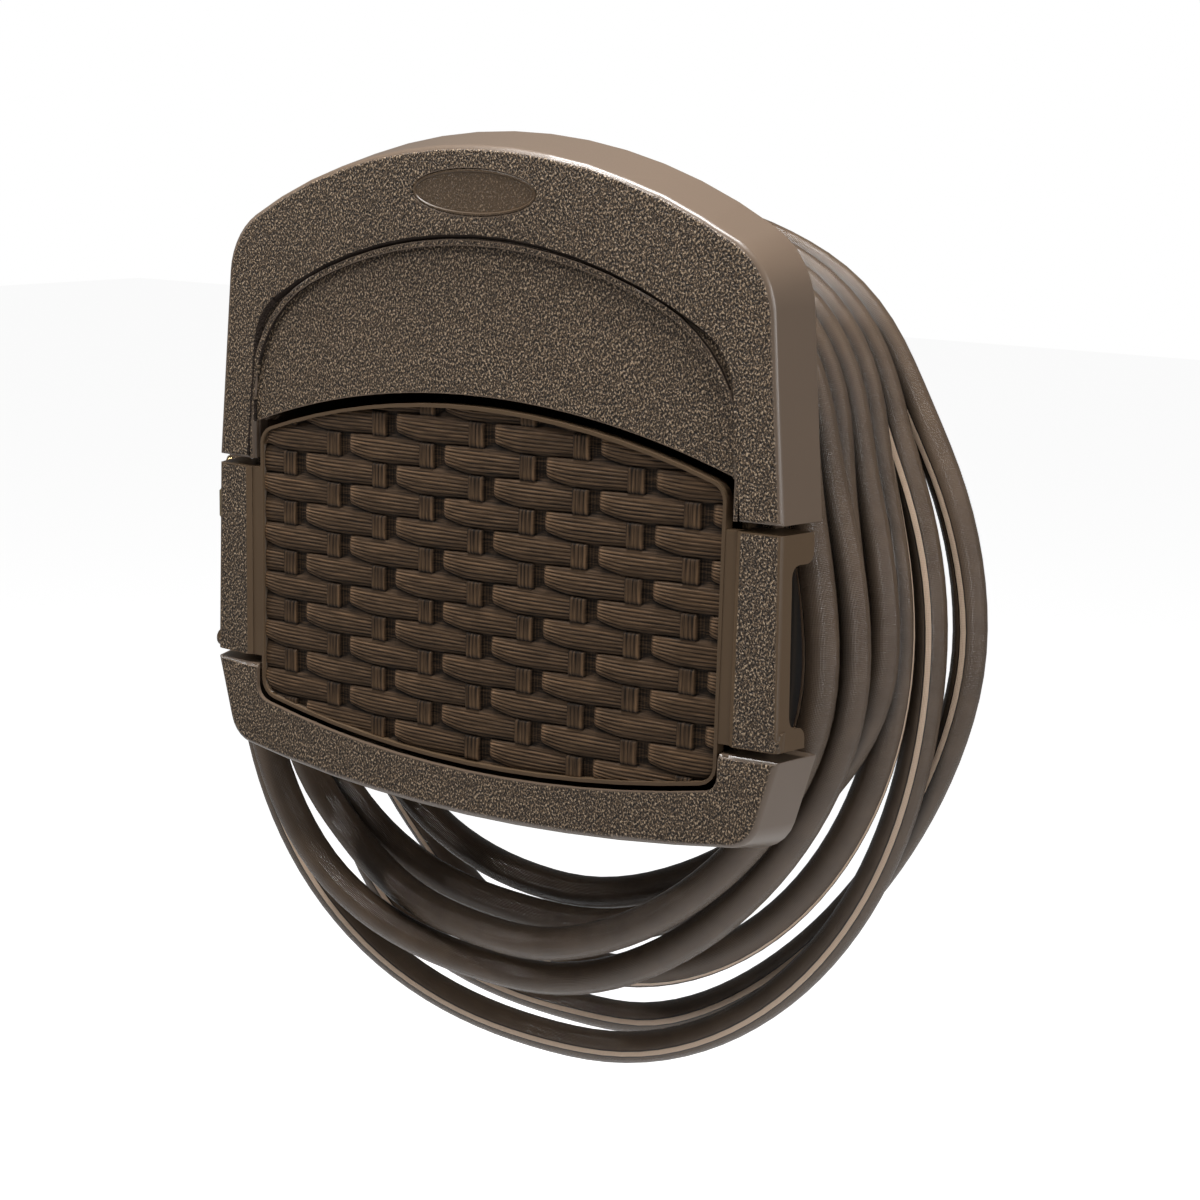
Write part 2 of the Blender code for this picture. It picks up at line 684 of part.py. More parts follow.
def build_door_frame():
    door = swept(combine(build_grips(), add(build_tray())))
    post_in, post_out = post_sides()
    web_in = post_in - EAR_ROOM - WEB_THICK
    boss_in = post_in + EAR_THICK + WEB_THICK
    wall_in = FRAME_WALL / 2 + FACE_SWEEP * (post_in / FRAME_HIP_HALF) ** 2

    def web(s):
        return box(s * web_in, s * (web_in + WEB_THICK), wall_in, HINGE_DEPTH + BOSS_RADIUS,
                   GRIP_BOTTOM + 0.0003, HINGE_Z + BOSS_RADIUS)

    def boss(s):
        ends = sorted((s * boss_in, s * (FRAME_HIP_HALF + 0.0005)))
        return cylinder((HINGE_DEPTH, HINGE_Z), "X", BOSS_RADIUS, *ends)

    def ear_room(s):
        return box(s * (post_in - EAR_ROOM), s * (post_in + EAR_THICK + EAR_ROOM),
                   HINGE_DEPTH - BOSS_RADIUS - EAR_ROOM, 2 * FRAME_DEPTH, GRIP_BOTTOM - 0.001,
                   HINGE_Z + BOSS_RADIUS + EAR_ROOM)

    def stop_rib(s):
        return box(s * (post_in + EAR_ROOM), s * (post_out - EAR_ROOM), wall_in,
                   POST_FRONT_DEPTH - SEAT_GAP, GRIP_TOP - 3 * GRIP_END_WALL, GRIP_TOP - GRIP_END_WALL / 2)

    door = combine(
        door,
        add(*both(boss)) + cut(*both(ear_room)) + add(*both(web)) + add(*both(stop_rib))
        + cut(*both(lambda s: hinge_bore(s, web_in - 0.001, web_in + PIN_LENGTH + SEAT_GAP))),
    )
    posts = [cylinder((x, z), "Y", SCREW_BOSS_RADIUS, DOOR_BACK_DEPTH - 0.001 , BIN_FRONT_DEPTH - SEAT_GAP, 12)
             for x, z in bin_screws()]
    pilots = [cylinder((x, z), "Y", SCREW_HOLE, PANEL_BACK_DEPTH + PILOT_FLOOR, BIN_FRONT_DEPTH + 0.001, 8)
              for x, z in bin_screws()]
    door = combine(door, add(*posts) + cut(*pilots))
    origin = (0.0, HINGE_DEPTH - DEPTH, HINGE_Z)
    return place(door, "door_frame", RESIN, origin)


# Woven panel


def weave_height(x, z):
    """Relief of a plain weave: each weft passes over one stake and under the next."""
    band = math.floor(z / WEFT_PITCH + 0.5)
    across = z / WEFT_PITCH - band
    wave = math.cos(math.pi * (x / STAKE_PITCH + band))
    height = WEAVE_RELIEF * wave * (1 - (2 * abs(across)) ** 4) - WEAVE_GROOVE * (2 * abs(across)) ** 4
    nearest = round(x / STAKE_PITCH)
    if abs(x - nearest * STAKE_PITCH) <= STAKE_WIDTH / 2 + 1e-6 and (nearest + band) % 2:
        if abs(across) < 0.499:
            height = WEAVE_RELIEF
    return height


def build_woven_panel():
    reach = (STAKE_COUNT + 1) // 2
    step = 0.0006
    columns = []
    for i in range(-reach, reach + 1):
        for offset in (-STAKE_WIDTH / 2 - step, -STAKE_WIDTH / 2, STAKE_WIDTH / 2, STAKE_WIDTH / 2 + step):
            columns.append(i * STAKE_PITCH + offset)
    bands = math.ceil(max(PANEL_TOP, -PANEL_BOTTOM) / WEFT_PITCH)
    levels = [(i + share) * WEFT_PITCH for i in range(-bands, bands + 1) for share in (-0.5, -0.34, 0.34)]
    bm = bmesh.new()
    rings = []
    for x in columns:
        outline = [(PANEL_FACE_DEPTH - weave_height(x, z), z) for z in levels]
        outline += [(PANEL_BACK_DEPTH, levels[-1]), (PANEL_BACK_DEPTH, levels[0])]
        rings.append([bm.verts.new((x, d + sweep_shift(x, d) - DEPTH, z)) for d, z in outline])
    for ring, following in zip(rings, rings[1:]):
        for i in range(len(ring)):
            j = (i + 1) % len(ring)
            bm.faces.new((ring[i], ring[j], following[j], following[i]))
    bm.faces.new(rings[0])
    bm.faces.new(rings[-1])
    bmesh.ops.recalc_face_normals(bm, faces=bm.faces)
    bmesh.ops.triangulate(bm, faces=bm.faces)
    bosses, pilots = [], []
    for x, z in panel_screws():
        back = PANEL_BACK_DEPTH + sweep_shift(x, PANEL_BACK_DEPTH)
        end = DOOR_BACK_DEPTH + sweep_shift(x, DOOR_BACK_DEPTH) - SEAT_GAP
        bosses.append(cylinder((x, z), "Y", PANEL_BOSS_RADIUS, back - 0.0010, end, 12))
        pilots.append(cylinder((x, z), "Y", SCREW_HOLE, back - 0.0005, end + 0.001, 8))
    panel = combine(bm, [("INTERSECT", prism(panel_outline(), -0.001, 0.03))] + add(*bosses) + cut(*pilots))
    return place(panel, "woven_panel", RESIN_DARK, (0.0, HINGE_DEPTH - DEPTH, HINGE_Z))


# Storage bin


def bin_profile(wall):
    """Side view of the bin, as (depth, z), shrunk by the wall for its inside."""
    return [
        (BIN_FRONT_DEPTH + wall, BIN_TOP + (0.01 if wall else 0.0)),
        (BIN_FRONT_DEPTH + wall, BIN_BOTTOM + 0.008 + wall),
        (BIN_FRONT_DEPTH + 0.003 + wall, BIN_BOTTOM + 0.003 + wall),
        (BIN_FRONT_DEPTH + 0.009 + wall, BIN_BOTTOM + wall),
        (BIN_HEEL_DEPTH - 0.010, BIN_HEEL_Z + wall),
        (BIN_HEEL_DEPTH - wall, BIN_HEEL_Z + 0.010 + wall),
        (BIN_REAR_DEPTH - wall, BIN_REAR_TOP),
    ] + ([(BIN_REAR_DEPTH - wall, BIN_TOP + 0.01)] if wall else [])


def side_extrusion(profile, x0, x1):
    bm = bmesh.new()
    loops = [[bm.verts.new((x, d - DEPTH, z)) for d, z in profile] for x in (x0, x1)]
    for i in range(len(profile)):
        j = (i + 1) % len(profile)
        bm.faces.new((loops[0][i], loops[0][j], loops[1][j], loops[1][i]))
    bm.faces.new(loops[0])
    bm.faces.new(loops[1])
    bmesh.ops.recalc_face_normals(bm, faces=bm.faces)
    return bm


def build_storage_bin():
    outer = side_extrusion(bin_profile(0.0), -BIN_HALF, BIN_HALF)
    edges = [e for e in outer.edges if abs(e.verts[0].co.x - e.verts[1].co.x) < 1e-6
             and not all(v.co.z > BIN_REAR_TOP - 0.001 for v in e.verts)]
    bmesh.ops.bevel(outer, geom=edges, offset=0.008, segments=3, profile=0.5, affect="EDGES", material=-1)
    inner = side_extrusion(bin_profile(BIN_WALL), -BIN_HALF + BIN_WALL, BIN_HALF - BIN_WALL)
    floor_edges = [e for e in inner.edges if abs(e.verts[0].co.x - e.verts[1].co.x) < 1e-6
                   and not all(v.co.z > BIN_REAR_TOP - 0.001 for v in e.verts)]
    bmesh.ops.bevel(inner, geom=floor_edges, offset=0.0055, segments=3, profile=0.5, affect="EDGES", material=-1)
    whole = combine(outer, cut(inner))
    holes = [cylinder((x, z), "Y", SCREW_HOLE, BIN_FRONT_DEPTH - 0.001, BIN_FRONT_DEPTH + BIN_WALL + 0.001, 10)
             for x, z in bin_screws()]
    whole = combine(whole, cut(*holes))
    return place(whole, "storage_bin", RESIN_DARK, (0.0, HINGE_DEPTH - DEPTH, HINGE_Z))


# Hub and wall plate


def build_hub_shell():
    outline = hub_outline()
    back = PLATE_FRONT_DEPTH - SEAT_GAP
    shell = combine(
        prism(outline, HUB_FRONT_DEPTH, back),
        cut(prism(widened(outline, -HUB_WALL), HUB_FRONT_DEPTH - 0.001, back + 0.001)),
    )
    for x, z in screw_lugs():
        shell = combine(
            shell,
            add(cylinder((x, z), "Y", SCREW_BOSS_RADIUS + 0.0008, HUB_FRONT_DEPTH, HUB_FRONT_DEPTH + LUG_DEPTH, 12))
            + cut(cylinder((x, z), "Y", SCREW_HOLE, HUB_FRONT_DEPTH - 0.001, HUB_FRONT_DEPTH + 0.01, 10)),
        )
    for x, z in plate_screws():
        shell = combine(
            shell,
            add(cylinder((x, z), "Y", SCREW_BOSS_RADIUS + 0.0008, back - LUG_DEPTH, back, 12))
            + cut(cylinder((x, z), "Y", SCREW_HOLE, back - 0.01, back + 0.001, 10)),
        )
    sweep = math.radians(HINGE_OPEN)
    low = PANEL_BOTTOM - PANEL_RIM - HINGE_Z
    near = DOOR_BACK_DEPTH - HINGE_DEPTH
    stop_depth = HINGE_DEPTH + near * math.cos(sweep) - low * math.sin(sweep) + 2 * SEAT_GAP
    stop_top = HINGE_Z + low * math.cos(sweep) + near * math.sin(sweep) + 0.0040

    def stop(s):
        middle = s * 0.4 * PANEL_HALF
        return box(middle - STOP_WIDTH / 2, middle + STOP_WIDTH / 2, stop_depth,
                   stop_depth + STOP_THICK, HUB_FLOOR + HUB_WALL / 2, stop_top)

    shell = combine(shell, add(*both(stop)))
    return place(shell, "hub_shell", RESIN_DARK)


def build_wall_plate():
    outline = widened(hub_outline(), PLATE_LIP)
    plate = prism(outline, PLATE_FRONT_DEPTH, DEPTH)
    ribs = []
    inside = HUB_HALF - HUB_WALL - PLATE_RIB_MARGIN
    for z in PLATE_RIB_LEVELS:
        ribs.append(box(-inside, inside, PLATE_FRONT_DEPTH - PLATE_RIB_HEIGHT, PLATE_FRONT_DEPTH + 0.001,
                        z - PLATE_RIB / 2, z + PLATE_RIB / 2))
    for x in (-PLATE_RIB_X, 0.0, PLATE_RIB_X):
        ribs.append(box(x - PLATE_RIB / 2, x + PLATE_RIB / 2, PLATE_FRONT_DEPTH - PLATE_RIB_HEIGHT,
                        PLATE_FRONT_DEPTH + 0.001, HUB_FLOOR + PLATE_RIB_MARGIN, HUB_TOP - 2 * PLATE_RIB_MARGIN))
    plate = combine(plate, add(*ribs))
    holes = [cylinder((x, z), "Y", WALL_HOLE_RADIUS, PLATE_FRONT_DEPTH - 0.001, DEPTH + 0.001, 16)
             for x, z in wall_holes()]
    holes += [cylinder((x, z), "Y", SCREW_HOLE, PLATE_FRONT_DEPTH - 0.001, DEPTH + 0.001, 10)
              for x, z in plate_screws()]
    return place(combine(plate, cut(*holes)), "wall_plate", RESIN_DARK)


# Fasteners and pins


def screw(spot, head_radius, head, radius, seat, tip, towards_wall):
    """A pan-head screw along the depth: head on its seat, tip cut short of the blind end."""
    sign = 1 if towards_wall else -1
    under = seat - sign * SEAT_GAP
    profile = [
        (0.0, under - sign * head), (head_radius * 0.72, under - sign * head),
        (head_radius, under - sign * head * 0.45), (head_radius, under), (radius, under),
        (radius, tip - sign * radius), (0.0, tip),
    ]
    bm = bmesh.new()
    verts = [bm.verts.new((r, 0.0, d)) for r, d in profile]
    edges = [bm.edges.new(pair) for pair in zip(verts, verts[1:])]
    bmesh.ops.spin(bm, geom=verts + edges, cent=(0, 0, 0), axis=(0, 0, 1), angle=math.tau,
                   steps=8, use_merge=True)
    bmesh.ops.remove_doubles(bm, verts=bm.verts, dist=1e-6)
    turn = Matrix(((1, 0, 0, spot[0]), (0, 0, 1, -DEPTH), (0, 1, 0, spot[1]), (0, 0, 0, 1)))
    bmesh.ops.transform(bm, matrix=turn, verts=bm.verts)
    bmesh.ops.recalc_face_normals(bm, faces=bm.faces)
    return bm


def place_each(solids, name, origin=(0.0, 0.0, 0.0)):
    """Like fasteners, one node each, numbered."""
    for number, bm in enumerate(solids, 1):
        place(bm, f"{name}_{number}", STEEL, origin)


def build_screws():
    tip = ARCH_STEP + FRAME_WALL + 0.0045
    seat = HUB_FRONT_DEPTH + LUG_DEPTH
    frame_set = [screw(spot, SCREW_HEAD_RADIUS, SCREW_HEAD, SCREW_RADIUS, seat, tip + sweep_shift(spot[0], tip), False)
                 for spot in screw_lugs()]
    place_each(frame_set, "frame_screw")
    back = PLATE_FRONT_DEPTH - SEAT_GAP
    plate_set = [screw(spot, SCREW_HEAD_RADIUS, SCREW_HEAD, SCREW_RADIUS, back - LUG_DEPTH, DEPTH - 0.0008, True)
                 for spot in plate_screws()]
    place_each(plate_set, "hub_screw")
    door_origin = (0.0, HINGE_DEPTH - DEPTH, HINGE_Z)
    panel_set = []
    for spot in panel_screws():
        shift = sweep_shift(spot[0], DOOR_BACK_DEPTH)
        panel_set.append(screw(spot, PANEL_BOSS_RADIUS + 0.0012, SCREW_HEAD * 0.8, SCREW_RADIUS,
                               DOOR_BACK_DEPTH + shift + SEAT_GAP, PANEL_BACK_DEPTH + shift, False))
    place_each(panel_set, "panel_screw", door_origin)
    seat = BIN_FRONT_DEPTH + BIN_WALL
    bin_set = [screw(spot, SCREW_HEAD_RADIUS, SCREW_HEAD, SCREW_RADIUS, seat, PANEL_BACK_DEPTH + 0.0026, False)
               for spot in bin_screws()]
    place_each(bin_set, "bin_screw", door_origin)


def build_hinge_pins():
    start = post_sides()[0] - EAR_ROOM - WEB_THICK
    for name, s in (("hinge_pin_right", 1), ("hinge_pin_left", -1)):
        ends = sorted((s * start, s * (start + PIN_LENGTH)))
        bm = cylinder((HINGE_DEPTH, HINGE_Z), "X", PIN_RADIUS, *ends)
        place(bm, name, STEEL, (0.0, HINGE_DEPTH - DEPTH, HINGE_Z))


# Hose


def ease(value, window):
    """A smooth step from 0 to 1 across a window."""
    share = min(max((value - window[0]) / (window[1] - window[0]), 0.0), 1.0)
    return share * share * (3 - 2 * share)


def lane_depth(lane):
    """Depth of one of the side-by-side lanes that the hose fills on the hub."""
    return FRAME_DEPTH + HOSE_SIDE_GAP + HOSE_RADIUS + lane * HOSE_PITCH


def joint_half():
    """Half the length of the two couplings screwed together, from hose end to hose end."""
    return (NUT_LENGTH + SHOULDER_LENGTH + 2 * SEAT_GAP) / 2


def hub_reach(across, up, level):
    """Distance from a loop's centre to the hose's centreline where it would lie on the hub."""
    away = HOSE_RADIUS + HOSE_TOP_GAP
    crown = HUB_TOP - HUB_TOP_RADIUS
    shoulder_x = HUB_HALF - HUB_SHOULDER_RADIUS
    shoulder_z = crown + math.sqrt((HUB_TOP_RADIUS - HUB_SHOULDER_RADIUS) ** 2 - shoulder_x ** 2)

    def reach(x, z, radius):
        along = x * across + (z - level) * up
        return along + math.sqrt(max(along ** 2 - x ** 2 - (z - level) ** 2 + radius ** 2, 0.0))

    top = reach(0.0, crown, HUB_TOP_RADIUS + away)
    if top * across * (shoulder_z - crown) <= (top * up + level - crown) * shoulder_x:
        return top
    shoulder = reach(shoulder_x, shoulder_z, HUB_SHOULDER_RADIUS + away)
    if shoulder * up + level >= shoulder_z:
        return shoulder
    return (HUB_HALF + away) / across


def loop_point(turn, angle):
    """A point of the hose's centreline; the angle runs left, top, right, bottom."""
    last = len(HOSE_LANES) - 1
    across, up = -math.cos(angle), math.sin(angle)
    leftwards = across < 0
    side = turn if up >= 0 or not leftwards else (turn + 1) % len(HOSE_LANES)
    half = (HOSE_LEFT if leftwards else HOSE_RIGHT)[side]
    level = HOSE_LEVEL
    if leftwards and side == 0:
        level = JOINT_Z + math.copysign(joint_half() + 2 * HOSE_RADIUS, up)
    if up >= 0:
        rise = HOSE_SPREAD * (HUB_TOP + HOSE_TOP_GAP + HOSE_RADIUS - level)
        free = 1 / math.hypot(across / half, up / rise)
        lying = hub_reach(abs(across), up, level)
        reach = (free ** HOSE_MERGE + lying ** HOSE_MERGE) ** (1 / HOSE_MERGE)
        x, z = across * reach, level + up * reach
    else:
        rounding = (HOSE_LEFT_ROUNDING if leftwards else HOSE_RIGHT_ROUNDING)[turn]
        x = math.copysign(half * abs(across) ** (2 / rounding), across)
        z = level - (HOSE_DROPS[turn] + level) * abs(up) ** (2 / rounding)
    depth = lane_depth(HOSE_LANES[turn])
    if turn == last and angle > math.pi:
        depth += (JOINT_DEPTH - depth) * ease(angle, END_SHIFT)
    elif turn == 0 and angle < math.pi:
        depth = JOINT_DEPTH + (depth - JOINT_DEPTH) * ease(angle, START_SHIFT)
    elif angle > math.pi:
        depth += (lane_depth(HOSE_LANES[turn + 1]) - depth) * ease(angle, LANE_SHIFT)
    return x, depth, z


def spread_points(points, count):
    """Points spread along a line of closer ones, nearer together where it bends, without its first."""
    steps = np.diff(points, axis=0)
    lengths = np.linalg.norm(steps, axis=1)
    units = steps / lengths[:, None]
    turns = np.linalg.norm(np.diff(units, axis=0, prepend=units[:1]), axis=1)
    along = np.concatenate([[0.0], np.cumsum(lengths + HOSE_BEND_WEIGHT * turns)])
    stations = np.linspace(0.0, along[-1], count + 1)[1:]
    return [tuple(float(np.interp(s, along, points[:, k])) for k in range(3)) for s in stations]


def hose_route():
    """The whole centreline from the female coupling round to the male one, as (x, depth, z)."""
    x, low, high = -HOSE_LEFT[0], JOINT_Z - joint_half(), JOINT_Z + joint_half()
    straight = 2 * HOSE_RADIUS
    route = [(x, JOINT_DEPTH, high), (x, JOINT_DEPTH, high + straight)]
    for turn in range(len(HOSE_LANES)):
        fine = [loop_point(turn, math.tau * (step + 0.001) / 240) for step in range(240)]
        fine.append(loop_point(turn, math.tau * 0.99999))
        route += spread_points(np.array(fine), HOSE_STEPS)
    return route + [(x, JOINT_DEPTH, low)]


def build_hose():
    route = hose_route()
    curve = bpy.data.curves.new("hose", "CURVE")
    curve.dimensions = "3D"
    curve.bevel_depth = HOSE_RADIUS
    curve.bevel_resolution = 1
    curve.use_fill_caps = True
    spline = curve.splines.new("POLY")
    spline.points.add(len(route) - 1)
    for point, (x, depth, z) in zip(spline.points, route):
        point.co = (x, depth - DEPTH, z, 1.0)
    curve.materials.append(material("hose_finish", HOSE_VINYL))
    piece = bpy.data.objects.new("hose", curve)
    bpy.context.scene.collection.objects.link(piece)
    report_hose(np.array(route))
    return piece


def report_hose(line):
    """Print the hose's length, its tightest bend and the least gap to itself and to the hub."""
    fine = []
    for a, b in zip(line, line[1:]):
        fine += [a + (b - a) * i / 6 for i in range(6)]
    fine = np.array(fine + [line[-1]])
    steps = np.linalg.norm(np.diff(fine, axis=0), axis=1)
    along = np.concatenate([[0.0], np.cumsum(steps)])
    least = 1.0
    for i in range(len(fine)):
        far = np.abs(along - along[i]) > 6 * HOSE_RADIUS
        least = min(least, float(np.linalg.norm(fine[far] - fine[i], axis=1).min()))
    a, b, c = line[:-2], line[1:-1], line[2:]
    sides = [np.linalg.norm(v, axis=1) for v in (b - a, c - b, c - a)]
    area = np.linalg.norm(np.cross(b - a, c - a), axis=1)
    bend = float((sides[0] * sides[1] * sides[2] / np.maximum(2 * area, 1e-12)).min())
    hub = np.array(widened(hub_outline(), 0.0))
    edges = np.roll(hub, -1, axis=0) - hub
    nearest = 1.0
    for x, _, z in fine:
        share = np.clip(((np.array([x, z]) - hub) * edges).sum(1) / (edges ** 2).sum(1), 0, 1)
        nearest = min(nearest, float(np.linalg.norm(hub + edges * share[:, None] - [x, z], axis=1).min()))
    print(f"hose length {along[-1]:.3f} m, tightest bend {bend * 1000:.0f} mm, "
          f"least gap to itself {(least - 2 * HOSE_RADIUS) * 1000:.2f} mm, "
          f"to the hub {(nearest - HOSE_RADIUS) * 1000:.2f} mm")


def turned(profile, sides, low):
    """A piece turned about the joint's upright axis; profile is (radius, height above low)."""
    bm = bmesh.new()
    verts = [bm.verts.new((r, 0.0, low + h)) for r, h in profile]
    pairs = list(zip(verts, verts[1:]))
    if profile[0][0] > 0:
        pairs.append((verts[-1], verts[0]))
    edges = [bm.edges.new(pair) for pair in pairs]
    bmesh.ops.spin(bm, geom=verts + edges, cent=(0, 0, 0), axis=(0, 0, 1), angle=math.tau,
                   steps=sides, use_merge=True)
    bmesh.ops.remove_doubles(bm, verts=bm.verts, dist=1e-6)
    bmesh.ops.translate(bm, vec=(-HOSE_LEFT[0], JOINT_DEPTH - DEPTH, 0.0), verts=bm.verts)
    bmesh.ops.recalc_face_normals(bm, faces=bm.faces)
    return bm


def build_couplings():
    low, high = JOINT_Z - joint_half(), JOINT_Z + joint_half()
    gap = SEAT_GAP
    grip = HOSE_RADIUS + gap
    place(turned([(grip, 0.0), (FERRULE_RADIUS, 0.0), (FERRULE_RADIUS, FERRULE_LENGTH * 0.8),
                  (grip + 0.0006, FERRULE_LENGTH), (grip, FERRULE_LENGTH)], 16, high + gap),
          "female_ferrule", BRASS)
    place(turned([(grip, -FERRULE_LENGTH), (grip + 0.0006, -FERRULE_LENGTH),
                  (FERRULE_RADIUS, -FERRULE_LENGTH * 0.8), (FERRULE_RADIUS, 0.0), (grip, 0.0)], 16, low - gap),
          "male_ferrule", BRASS)
    place(turned([(0.0, 0.0), (SHOULDER_RADIUS, 0.0), (SHOULDER_RADIUS, SHOULDER_LENGTH),
                  (THREAD_RADIUS, SHOULDER_LENGTH), (THREAD_RADIUS, SHOULDER_LENGTH + THREAD_LENGTH),
                  (0.0, SHOULDER_LENGTH + THREAD_LENGTH)], 16, low + gap),
          "male_fitting", BRASS)
    nut_low = low + SHOULDER_LENGTH + 2 * gap
    nut_wall = THREAD_RADIUS + gap
    top = NUT_LENGTH - 3 * gap
    place(turned([(nut_wall, 0.0), (NUT_RADIUS * 0.95, 0.0), (NUT_RADIUS, 0.0015), (NUT_RADIUS, top - 0.0020),
                  (NUT_RADIUS * 0.9, top), (STEM_RADIUS + gap, top), (STEM_RADIUS + gap, top - 0.0025),
                  (nut_wall, top - 0.0025)], 16, nut_low),
          "swivel_nut", BRASS)
    thread_top = low + gap + SHOULDER_LENGTH + THREAD_LENGTH
    place(turned([(WASHER_BORE, 0.0), (nut_wall - 2 * gap, 0.0), (nut_wall - 2 * gap, WASHER_RUBBER - 0.0015),
                  (WASHER_BORE, WASHER_RUBBER - 0.0015)], 16, thread_top + gap),
          "hose_washer", RUBBER)
    stem_low = thread_top + 2 * gap + WASHER_RUBBER - 0.0015
    flange = nut_low + top - 0.0025 - gap
    place(turned([(0.0, stem_low), (nut_wall - 2 * gap, stem_low), (nut_wall - 2 * gap, flange),
                  (STEM_RADIUS, flange), (STEM_RADIUS, high - gap), (0.0, high - gap)], 16, 0.0),
          "female_stem", BRASS)


def main():
    for item in list(bpy.data.objects):
        bpy.data.objects.remove(item)
    build_front_frame()
    build_door_frame()
    build_woven_panel()
    build_storage_bin()
    build_hub_shell()
    build_wall_plate()
    build_hinge_pins()
    build_screws()
    build_hose()
    build_couplings()


main()
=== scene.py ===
"""Wall hose hanger: looks for the moulded hood and grips, the woven tilt-out door with its bin, the
hub on its wall plate, and the garden hose wound over the hub. Metres, +Z up, the wall at Y = 0."""

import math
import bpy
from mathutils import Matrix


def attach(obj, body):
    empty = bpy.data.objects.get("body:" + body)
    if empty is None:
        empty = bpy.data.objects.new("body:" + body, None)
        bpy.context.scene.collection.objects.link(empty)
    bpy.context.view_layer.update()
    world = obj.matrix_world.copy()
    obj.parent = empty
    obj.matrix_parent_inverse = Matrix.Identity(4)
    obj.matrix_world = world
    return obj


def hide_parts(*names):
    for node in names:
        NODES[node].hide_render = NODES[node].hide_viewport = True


bl_info = {
    "name": "Wall hose hanger",
    "version": (1, 0, 0),
    "blender": (4, 5, 0),
    "location": "3D View > Sidebar > Hose hanger",
    "description": "Builds the pieces and finishes of a wall hose hanger and its hose",
    "category": "Object",
}

import bmesh
import bpy
import numpy as np
from bpy.props import FloatProperty, FloatVectorProperty, IntProperty, PointerProperty
from mathutils import Matrix, Vector

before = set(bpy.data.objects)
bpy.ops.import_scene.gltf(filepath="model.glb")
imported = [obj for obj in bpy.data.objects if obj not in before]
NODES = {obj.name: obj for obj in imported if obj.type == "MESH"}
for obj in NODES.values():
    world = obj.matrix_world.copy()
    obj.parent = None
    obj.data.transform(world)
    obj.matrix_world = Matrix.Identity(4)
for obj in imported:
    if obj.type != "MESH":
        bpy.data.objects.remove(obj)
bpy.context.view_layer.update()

# Places shared with the solids: depths run from the front plane back to the wall
DEPTH = 0.1823
PANEL_HALF = 0.1480
PANEL_TOP, PANEL_TOP_RADIUS = 0.0945, 0.4330
PANEL_BOTTOM, PANEL_BOTTOM_RADIUS = -0.0960, 0.7380
PANEL_CORNER = 0.0090
PANEL_FACE_DEPTH = 0.0050
PANEL_BACK_DEPTH = 0.0077
FRAME_DEPTH = 0.0370
FRAME_HIP_HALF = 0.1845
ARCH_TOP, ARCH_TOP_RADIUS = 0.1835, 0.2500
ARCH_FOOT_HALF = 0.1575
ARCH_STEP = 0.0040
GRIP_TOP = 0.0485
FACE_SWEEP = 0.0086
SWEEP_STRIP = 0.0460

HUB_HALF = 0.1570
HUB_TOP, HUB_TOP_RADIUS = 0.1830, 0.2550
HUB_SHOULDER_RADIUS = 0.0800

# The hose's route, one value per turn where a row holds several
HOSE_RADIUS = 0.0095
HOSE_PITCH = 0.0198
HOSE_SIDE_GAP = 0.0015
HOSE_TOP_GAP = 0.0022
HOSE_LANES = (1, 0, 2, 3, 4, 6, 5)
HOSE_DROPS = (0.2410, 0.2135, 0.2120, 0.2005, 0.2540, 0.3000, 0.3030)
HOSE_RIGHT = (0.1955, 0.1870, 0.1840, 0.1935, 0.1930, 0.2185, 0.2035)
HOSE_LEFT = (0.2400, 0.1930, 0.2030, 0.2030, 0.1850, 0.2150, 0.2170)
HOSE_RIGHT_ROUNDING = (1.70, 1.70, 1.95, 1.65, 1.95, 1.65, 2.00)
HOSE_LEFT_ROUNDING = (2.40, 3.00, 3.00, 2.60, 2.30, 2.90, 2.40)
HOSE_LEVEL = -0.0350
HOSE_SPREAD = 0.97
HOSE_MERGE = 30
# Angles between which the hose changes lane, leaves its first coupling and reaches its last
LANE_SHIFT = (1.45 * math.pi, 1.75 * math.pi)
START_SHIFT = (0.02 * math.pi, 0.24 * math.pi)
END_SHIFT = (1.15 * math.pi, 1.90 * math.pi)
JOINT_DEPTH = 0.0960
JOINT_Z = 0.0050
JOINT_HALF = 0.0128
# Steps of one turn and of the straight ends, and how often the finished line is eased
TURN_STEPS = 720
END_STEPS = 8
EASE_PASSES = 3
# Solids at the hose's two ends, where they are screwed together
COUPLING_PIECES = (
    "female_ferrule", "male_ferrule", "male_fitting", "swivel_nut", "female_stem", "hose_washer",
)

# How near another turn's middle a spot on the hose is shut in, and how far it lies open; shut spots get
# painted shade
GROOVE_SHUT, GROOVE_OPEN = 0.0108, 0.0178
# The stripe's own direction, and its angle from there in degrees at turns along the hose
STRIPE_FACING = (0.52, -0.83, 0.21)
STRIPE_KEYS = (
    (0.0, 180.0), (0.9, 180.0), (1.3, 95.0), (1.5, 80.0), (1.7, 110.0), (2.0, 180.0), (3.9, 180.0),
    (4.3, 290.0), (4.5, 315.0), (4.75, 338.0), (5.0, 360.0), (5.25, 415.0), (5.5, 375.0),
    (5.65, 348.0), (6.25, 400.0), (6.5, 368.0), (6.75, 345.0), (7.0, 350.0),
)

# Opening round the panel in the hood: half width, gap above the panel, steps in half its arch, how
# far it runs below the top of the grips, and where the block that cuts it starts and ends in depth
OPENING_HALF, OPENING_TOP = 0.1548, 0.0078
OPENING_STEPS = 14
OPENING_FOOT = 0.0060
OPENING_LEAD = 0.0100
OPENING_REACH = 0.0225
# The part of the arch's step that is marked: from this far below its edge to this far above its foot
STEP_TOP_TRIM, STEP_FOOT_TRIM = 0.0008, 0.0004
# A face whose normal looks less than this share forward counts as steep
STEEP_BELOW = 0.97

